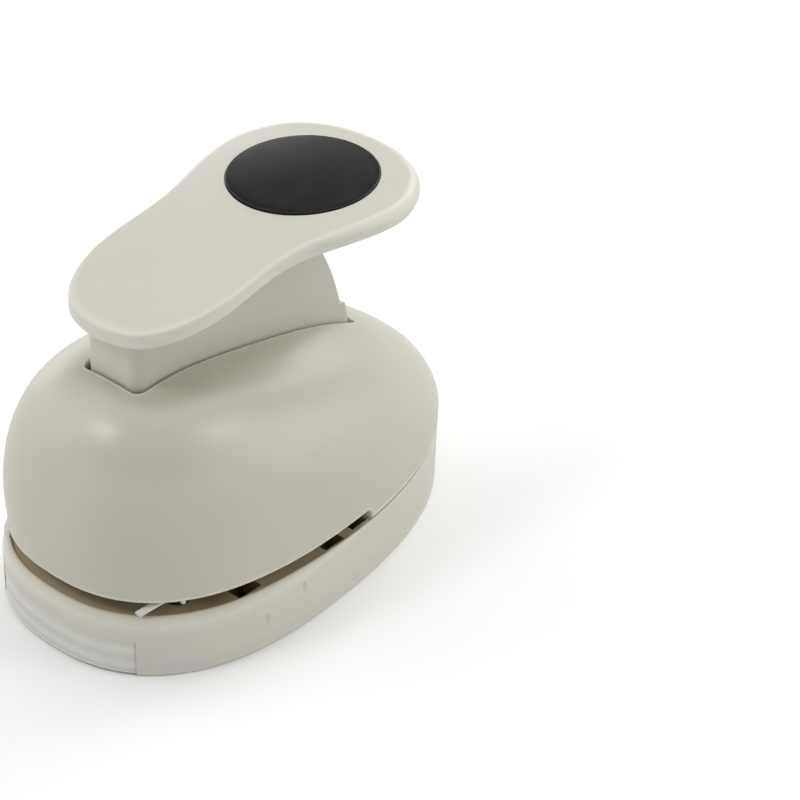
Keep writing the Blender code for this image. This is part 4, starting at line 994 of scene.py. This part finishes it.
def noise_of(tree, vector, scale, detail):
    return node_of(tree, "TexNoise", {"Vector": vector, "Scale": scale, "Detail": detail})["Fac"]


def bump_of(tree, height, strength, distance):
    values = {"Height": height, "Strength": strength, "Distance": distance}
    return node_of(tree, "Bump", values)["Normal"]


def place_wear_and_light(tree):
    """The place on the piece, and its wear and painted light there."""
    mark = tree.nodes.new("ShaderNodeAttribute")
    mark.attribute_name = "wear_and_painted_light"
    return node_of(tree, "TexCoord")["Object"], mark.outputs["Fac"]


# Painted brown shade of the cells' walls
CELL_SHADE_BROWN = (0.33, 0.22, 0.08, 1.0)
WHITE = (1.0, 1.0, 1.0, 1.0)


def grain_group():
    """Moulded plastic: spark-eroded grain with a slow drift of tone.

    The wear and light attribute is 1 on edges and ridges, which makes them paler, smoother and
    glossier: wear, and a painted highlight. It is -1 deep in the slot, where the tone sinks to the
    painted shade colour, and -2 in the cells, which get a painted brown shade.
    """
    colors = ("Light", "Dark", "Worn Edge And Highlight", "Painted Shade")
    tree, given, leave = new_group("moulded_grain", colors, ("Grain Size", "Grain Height", "Gloss"))
    place, wear_and_painted_light = place_wear_and_light(tree)
    drift = noise_of(tree, place, 60.0, 6.0)
    patch = noise_of(tree, place, 420.0, 4.0)
    # Paler edges and ridges: wear, and a painted highlight
    wear_and_highlight = span_of(tree, wear_and_painted_light, 0.0, 1.0, 0.0, 1.0)
    wear_and_highlight = sum_of(tree, "MULTIPLY", wear_and_highlight, span_of(tree, patch, 0.3, 0.7, 0.6, 1.0))
    tone = blend_of(tree, drift, given["Dark"], given["Light"])
    tone = blend_of(tree, wear_and_highlight, tone, given["Worn Edge And Highlight"])
    # Painted shade deep in the slot and on the stem's sides, and painted brown shade in the cells
    tone = blend_of(tree, span_of(tree, wear_and_painted_light, -1.0, 0.0, 1.0, 0.0), tone, given["Painted Shade"])
    tone = blend_of(tree, span_of(tree, wear_and_painted_light, -2.0, -1.0, 1.0, 0.0), tone, CELL_SHADE_BROWN)
    gloss = sum_of(tree, "ADD", given["Gloss"], span_of(tree, patch, 0.2, 0.8, -0.05, 0.05))
    gloss = sum_of(tree, "SUBTRACT", gloss, sum_of(tree, "MULTIPLY", wear_and_highlight, 0.08))
    grain = noise_of(tree, place, sum_of(tree, "DIVIDE", 1000.0, given["Grain Size"]), 2.0)
    smooth = span_of(tree, wear_and_highlight, 0.0, 1.0, 1.0, 0.4)
    height = sum_of(tree, "MULTIPLY", given["Grain Height"], smooth)
    normal = bump_of(tree, grain, height, 0.05 * MM)
    filled(tree, leave, {"Color": tone, "Roughness": gloss, "Normal": normal})
    return tree


def metal_group():
    """Worked metal: fine lines along one axis, a stain of tone and brighter edges where the wear
    and light attribute marks them.
    """
    numbers = ("Along X", "Along Y", "Along Z", "Line Height", "Gloss")
    tree, given, leave = new_group("worked_metal", ("Light", "Dark"), numbers)
    place, wear_and_painted_light = place_wear_and_light(tree)
    draw = node_of(tree, "CombineXYZ", [given["Along " + axis] for axis in "XYZ"])[0]
    drawn = node_of(tree, "VectorMath", (place, draw), "MULTIPLY")[0]
    lines = noise_of(tree, drawn, 1.0, 3.0)
    stain_and_shade = noise_of(tree, place, 180.0, 5.0)
    share = sum_of(tree, "MULTIPLY", sum_of(tree, "ADD", lines, stain_and_shade), 0.5)
    share = sum_of(tree, "ADD", share, span_of(tree, wear_and_painted_light, 0.0, 1.0, 0.0, 0.5))
    share = span_of(tree, share, 0.25, 0.75, 0.0, 1.0)
    tone = blend_of(tree, share, given["Dark"], given["Light"])
    gloss = sum_of(tree, "ADD", given["Gloss"], span_of(tree, stain_and_shade, 0.25, 0.75, 0.07, -0.07))
    normal = bump_of(tree, lines, given["Line Height"], 0.04 * MM)
    filled(tree, leave, {"Color": tone, "Roughness": gloss, "Normal": normal})
    return tree


GRAIN = grain_group()
METAL = metal_group()


def surface(name, group, values, specular=0.5):
    """Material whose colour, roughness and normal come from a shared group with these inputs."""
    material, tree, shader = new_material(name)
    node = tree.nodes.new("ShaderNodeGroup")
    node.node_tree = group
    values = [(*value, 1.0) if isinstance(value, tuple) else value for value in values]
    color, rough, normal = filled(tree, node, values)
    looks = {"Base Color": color, "Roughness": rough, "Normal": normal}
    looks["Metallic"] = float(group == METAL)
    looks["Specular IOR Level"] = specular
    filled(tree, shader, looks)
    return material


# Plastics: light, dark, worn edge and highlight, and painted shade colours, then grain size, grain
# height and gloss
SHELL = surface("satin_shell", GRAIN, (
    (0.560, 0.542, 0.453), (0.528, 0.509, 0.423), (0.69, 0.67, 0.58), (0.30, 0.27, 0.20),
    0.3, 0.25, 0.34,
), 0.75)
BASE = surface("frosted_base", GRAIN, (
    (0.650, 0.632, 0.552), (0.610, 0.593, 0.516), (0.70, 0.685, 0.605), (0.58, 0.48, 0.32),
    0.3, 0.25, 0.42,
))
LEVER = surface("satin_lever", GRAIN, (
    (0.610, 0.597, 0.515), (0.585, 0.572, 0.492), (0.68, 0.667, 0.585), (0.40, 0.38, 0.31),
    0.3, 0.2, 0.40,
), 0.6)
TRAY = surface("frosted_tray", GRAIN, (
    (0.655, 0.647, 0.590), (0.620, 0.610, 0.548), (0.735, 0.733, 0.69), (0.50, 0.48, 0.42),
    0.25, 0.3, 0.38,
))
PAD = surface("satin_pad", GRAIN, (
    (0.0125, 0.0125, 0.012), (0.0095, 0.0095, 0.009), (0.008, 0.008, 0.0078), (0.008, 0.008, 0.008),
    0.4, 0.3, 0.34,
), 0.24)
NYLON = surface("natural_nylon", GRAIN, (
    (0.74, 0.73, 0.67), (0.68, 0.67, 0.60), (0.78, 0.77, 0.72), (0.5, 0.48, 0.4),
    0.5, 0.3, 0.5,
))

# Metals: light and dark colours, then the lines' scale along X, Y and Z, their height and gloss
TOOL_STEEL = surface("ground_tool_steel", METAL, (
    (0.44, 0.435, 0.42), (0.29, 0.285, 0.275), 120.0, 5200.0, 5200.0, 0.35, 0.3,
))
ZINC = surface("zinc_plate", METAL, (
    (0.70, 0.71, 0.72), (0.52, 0.53, 0.53), 900.0, 900.0, 900.0, 0.2, 0.34,
))
SPRING_STEEL = surface("drawn_spring_wire", METAL, (
    (0.50, 0.50, 0.50), (0.33, 0.33, 0.34), 3000.0, 3000.0, 240.0, 0.3, 0.27,
))

# Finishes of the frame's own nodes; the rest are zinc plated
SIDES = {"left": -1, "right": 1}
FINISHES = {"punch_carrier": NYLON}
for word in ("circle_cutter", "die_plate", "guide_plate", "press_roller"):
    FINISHES[word] = TOOL_STEEL
for word in SIDES:
    FINISHES["guide_post_" + word] = TOOL_STEEL
    FINISHES["pin_clip_" + word] = FINISHES["post_clip_" + word] = SPRING_STEEL


def finish_frame():
    for name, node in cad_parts.items():
        node.data.materials.clear()
        node.data.materials.append(FINISHES.get(name, ZINC))
        node.data.shade_smooth()


def look_from(thing, azimuth, elevation, distance):
    """Makes a camera or lamp look at the punch; both angles are in degrees, from the nose."""
    azimuth, elevation = math.radians(azimuth), math.radians(elevation)
    across, rise = math.cos(elevation), math.sin(elevation)
    back = Vector((math.sin(azimuth) * across, -math.cos(azimuth) * across, rise))
    thing.location = Vector(VIEW_TARGET) + back * distance
    thing.rotation_euler = back.to_track_quat("Z", "Y").to_euler()
    bpy.context.scene.collection.objects.link(thing)


def add_camera():
    camera = bpy.data.objects.new("camera", bpy.data.cameras.new("camera"))
    look_from(camera, VIEW_AZIMUTH, VIEW_ELEVATION, VIEW_DISTANCE)
    camera.data.sensor_width = 36.0
    camera.data.lens = VIEW_LENS
    camera.data.shift_x, camera.data.shift_y = VIEW_SHIFT
    bpy.context.scene.camera = camera


# Lamps: azimuth and elevation in degrees, size in metres and power in watts
LAMP_DISTANCE = 1.2
LAMPS = {
    "overhead": (200.0, 78.0, 0.9, 4.7),
    "back_bank": (185.0, 38.0, 0.7, 4.7),
    "left_bank": (-62.0, 42.0, 1.1, 5.1),
    "left_back_low": (-115.0, 8.0, 0.9, 2.4),
    "right_bank": (135.0, 45.0, 1.1, 0.8),
    "right_low": (134.0, 12.0, 0.7, 1.5),
    "front_right": (48.0, 58.0, 0.9, 1.0),
    "left_glint": (-25.0, 52.0, 0.25, 2.1),
    "right_glint": (120.0, 41.0, 0.4, 1.9),
}
ROOM_HIGH = 0.0
ROOM_LOW = 1.06


def add_lamps():
    """Square soft lamps that look at the punch from their directions."""
    for name, (azimuth, elevation, size, power) in LAMPS.items():
        data = bpy.data.lights.new(name, "AREA")
        data.size = size
        data.energy = power
        lamp = bpy.data.objects.new(name, data)
        look_from(lamp, azimuth, elevation, LAMP_DISTANCE)


def seen_or_lit(tree, seen, lit):
    """One value where the camera looks, also through glass, and another for the rest."""
    path = node_of(tree, "LightPath")
    either = sum_of(tree, "MAXIMUM", path["Is Camera Ray"], path["Is Transmission Ray"])
    return span_of(tree, either, 0.0, 1.0, lit, seen)


def add_world():
    """Room light that fades from the horizon up, white where the camera looks past the punch."""
    world = bpy.data.worlds.new("soft_room")
    world.use_nodes = True
    bpy.context.scene.world = world
    tree = world.node_tree
    place = node_of(tree, "TexCoord")["Generated"]
    height = node_of(tree, "SeparateXYZ", (place,))["Z"]
    level = span_of(tree, height, 0.1, 0.6, ROOM_LOW, ROOM_HIGH)
    level.node.interpolation_type = "SMOOTHSTEP"
    light = seen_or_lit(tree, 1.0, level)
    filled(tree, tree.nodes["Background"], {"Strength": light, "Color": WHITE})


def add_floor():
    """Pale floor: white to the camera but for the shadow, and plain white half a metre away."""
    reach = 3.0
    mesh = bpy.data.meshes.new("floor")
    corners = [(x * reach, y * reach, 0.0) for x, y in ((-1, -1), (1, -1), (1, 1), (-1, 1))]
    mesh.from_pydata(corners, [], [(0, 1, 2, 3)])
    floor = bpy.data.objects.new("floor", mesh)
    bpy.context.scene.collection.objects.link(floor)
    material, tree, shader = new_material("pale_floor")
    length = node_of(tree, "VectorMath", (node_of(tree, "TexCoord")["Object"],), "LENGTH")["Value"]
    far = span_of(tree, length, 0.15, 0.5, 0.0, 1.0)
    far = sum_of(tree, "MULTIPLY", far, seen_or_lit(tree, 1.0, 0.0))
    near = sum_of(tree, "SUBTRACT", 1.0, far)
    shade = sum_of(tree, "MULTIPLY", seen_or_lit(tree, 1.0, 0.8), near)
    looks = {"Base Color": shade, "Emission Strength": far, "Emission Color": WHITE}
    filled(tree, shader, {**looks, "Roughness": 0.9, "Specular IOR Level": 0.0})
    mesh.materials.append(material)


def dress(piece, body, material, slot, *nodes):
    """Gives a piece its material and body, and hides the CAD nodes it stands for."""
    piece.data.materials.clear()
    piece.data.materials.append(material)
    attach(piece, body)
    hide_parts(*nodes)


finish_frame()
for shell in make_base_shell():
    dress(shell, "housing", BASE, "base_shell", "base_shell")
dress(make_upper_shell(), "housing", SHELL, "upper_shell", "upper_shell")
for part in make_lever():
    dress(part, "lever", LEVER, "lever", "lever")
dress(make_pad(), "lever", PAD, "thumb_pad", "thumb_pad")
dress(make_tray(), "tray", TRAY, "chip_tray", "chip_tray")
for word, side in SIDES.items():
    leaf = add_piece("paper_finger_%s_leaf" % word, [finger_skin(side)])
    dress(leaf, "housing", TRAY, "paper_finger", "paper_finger_" + word)
for word, spot in zip(("left", "right", "rear"), SCREW_SPOTS):
    node = "housing_screw_" + word
    screw = add_piece(node + "_metal", [screw_skin(spot)], 30.0)
    dress(screw, "housing", ZINC, "zinc_steel", node)
for word, side in SIDES.items():
    node = "return_spring_" + word
    spring = add_piece(node + "_wire", [spring_skin(side)])
    dress(spring, "housing", SPRING_STEEL, "spring_steel", node)
    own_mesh(spring)

add_camera()
add_world()
add_floor()
add_lamps()
bpy.context.scene.view_settings.view_transform = "Standard"
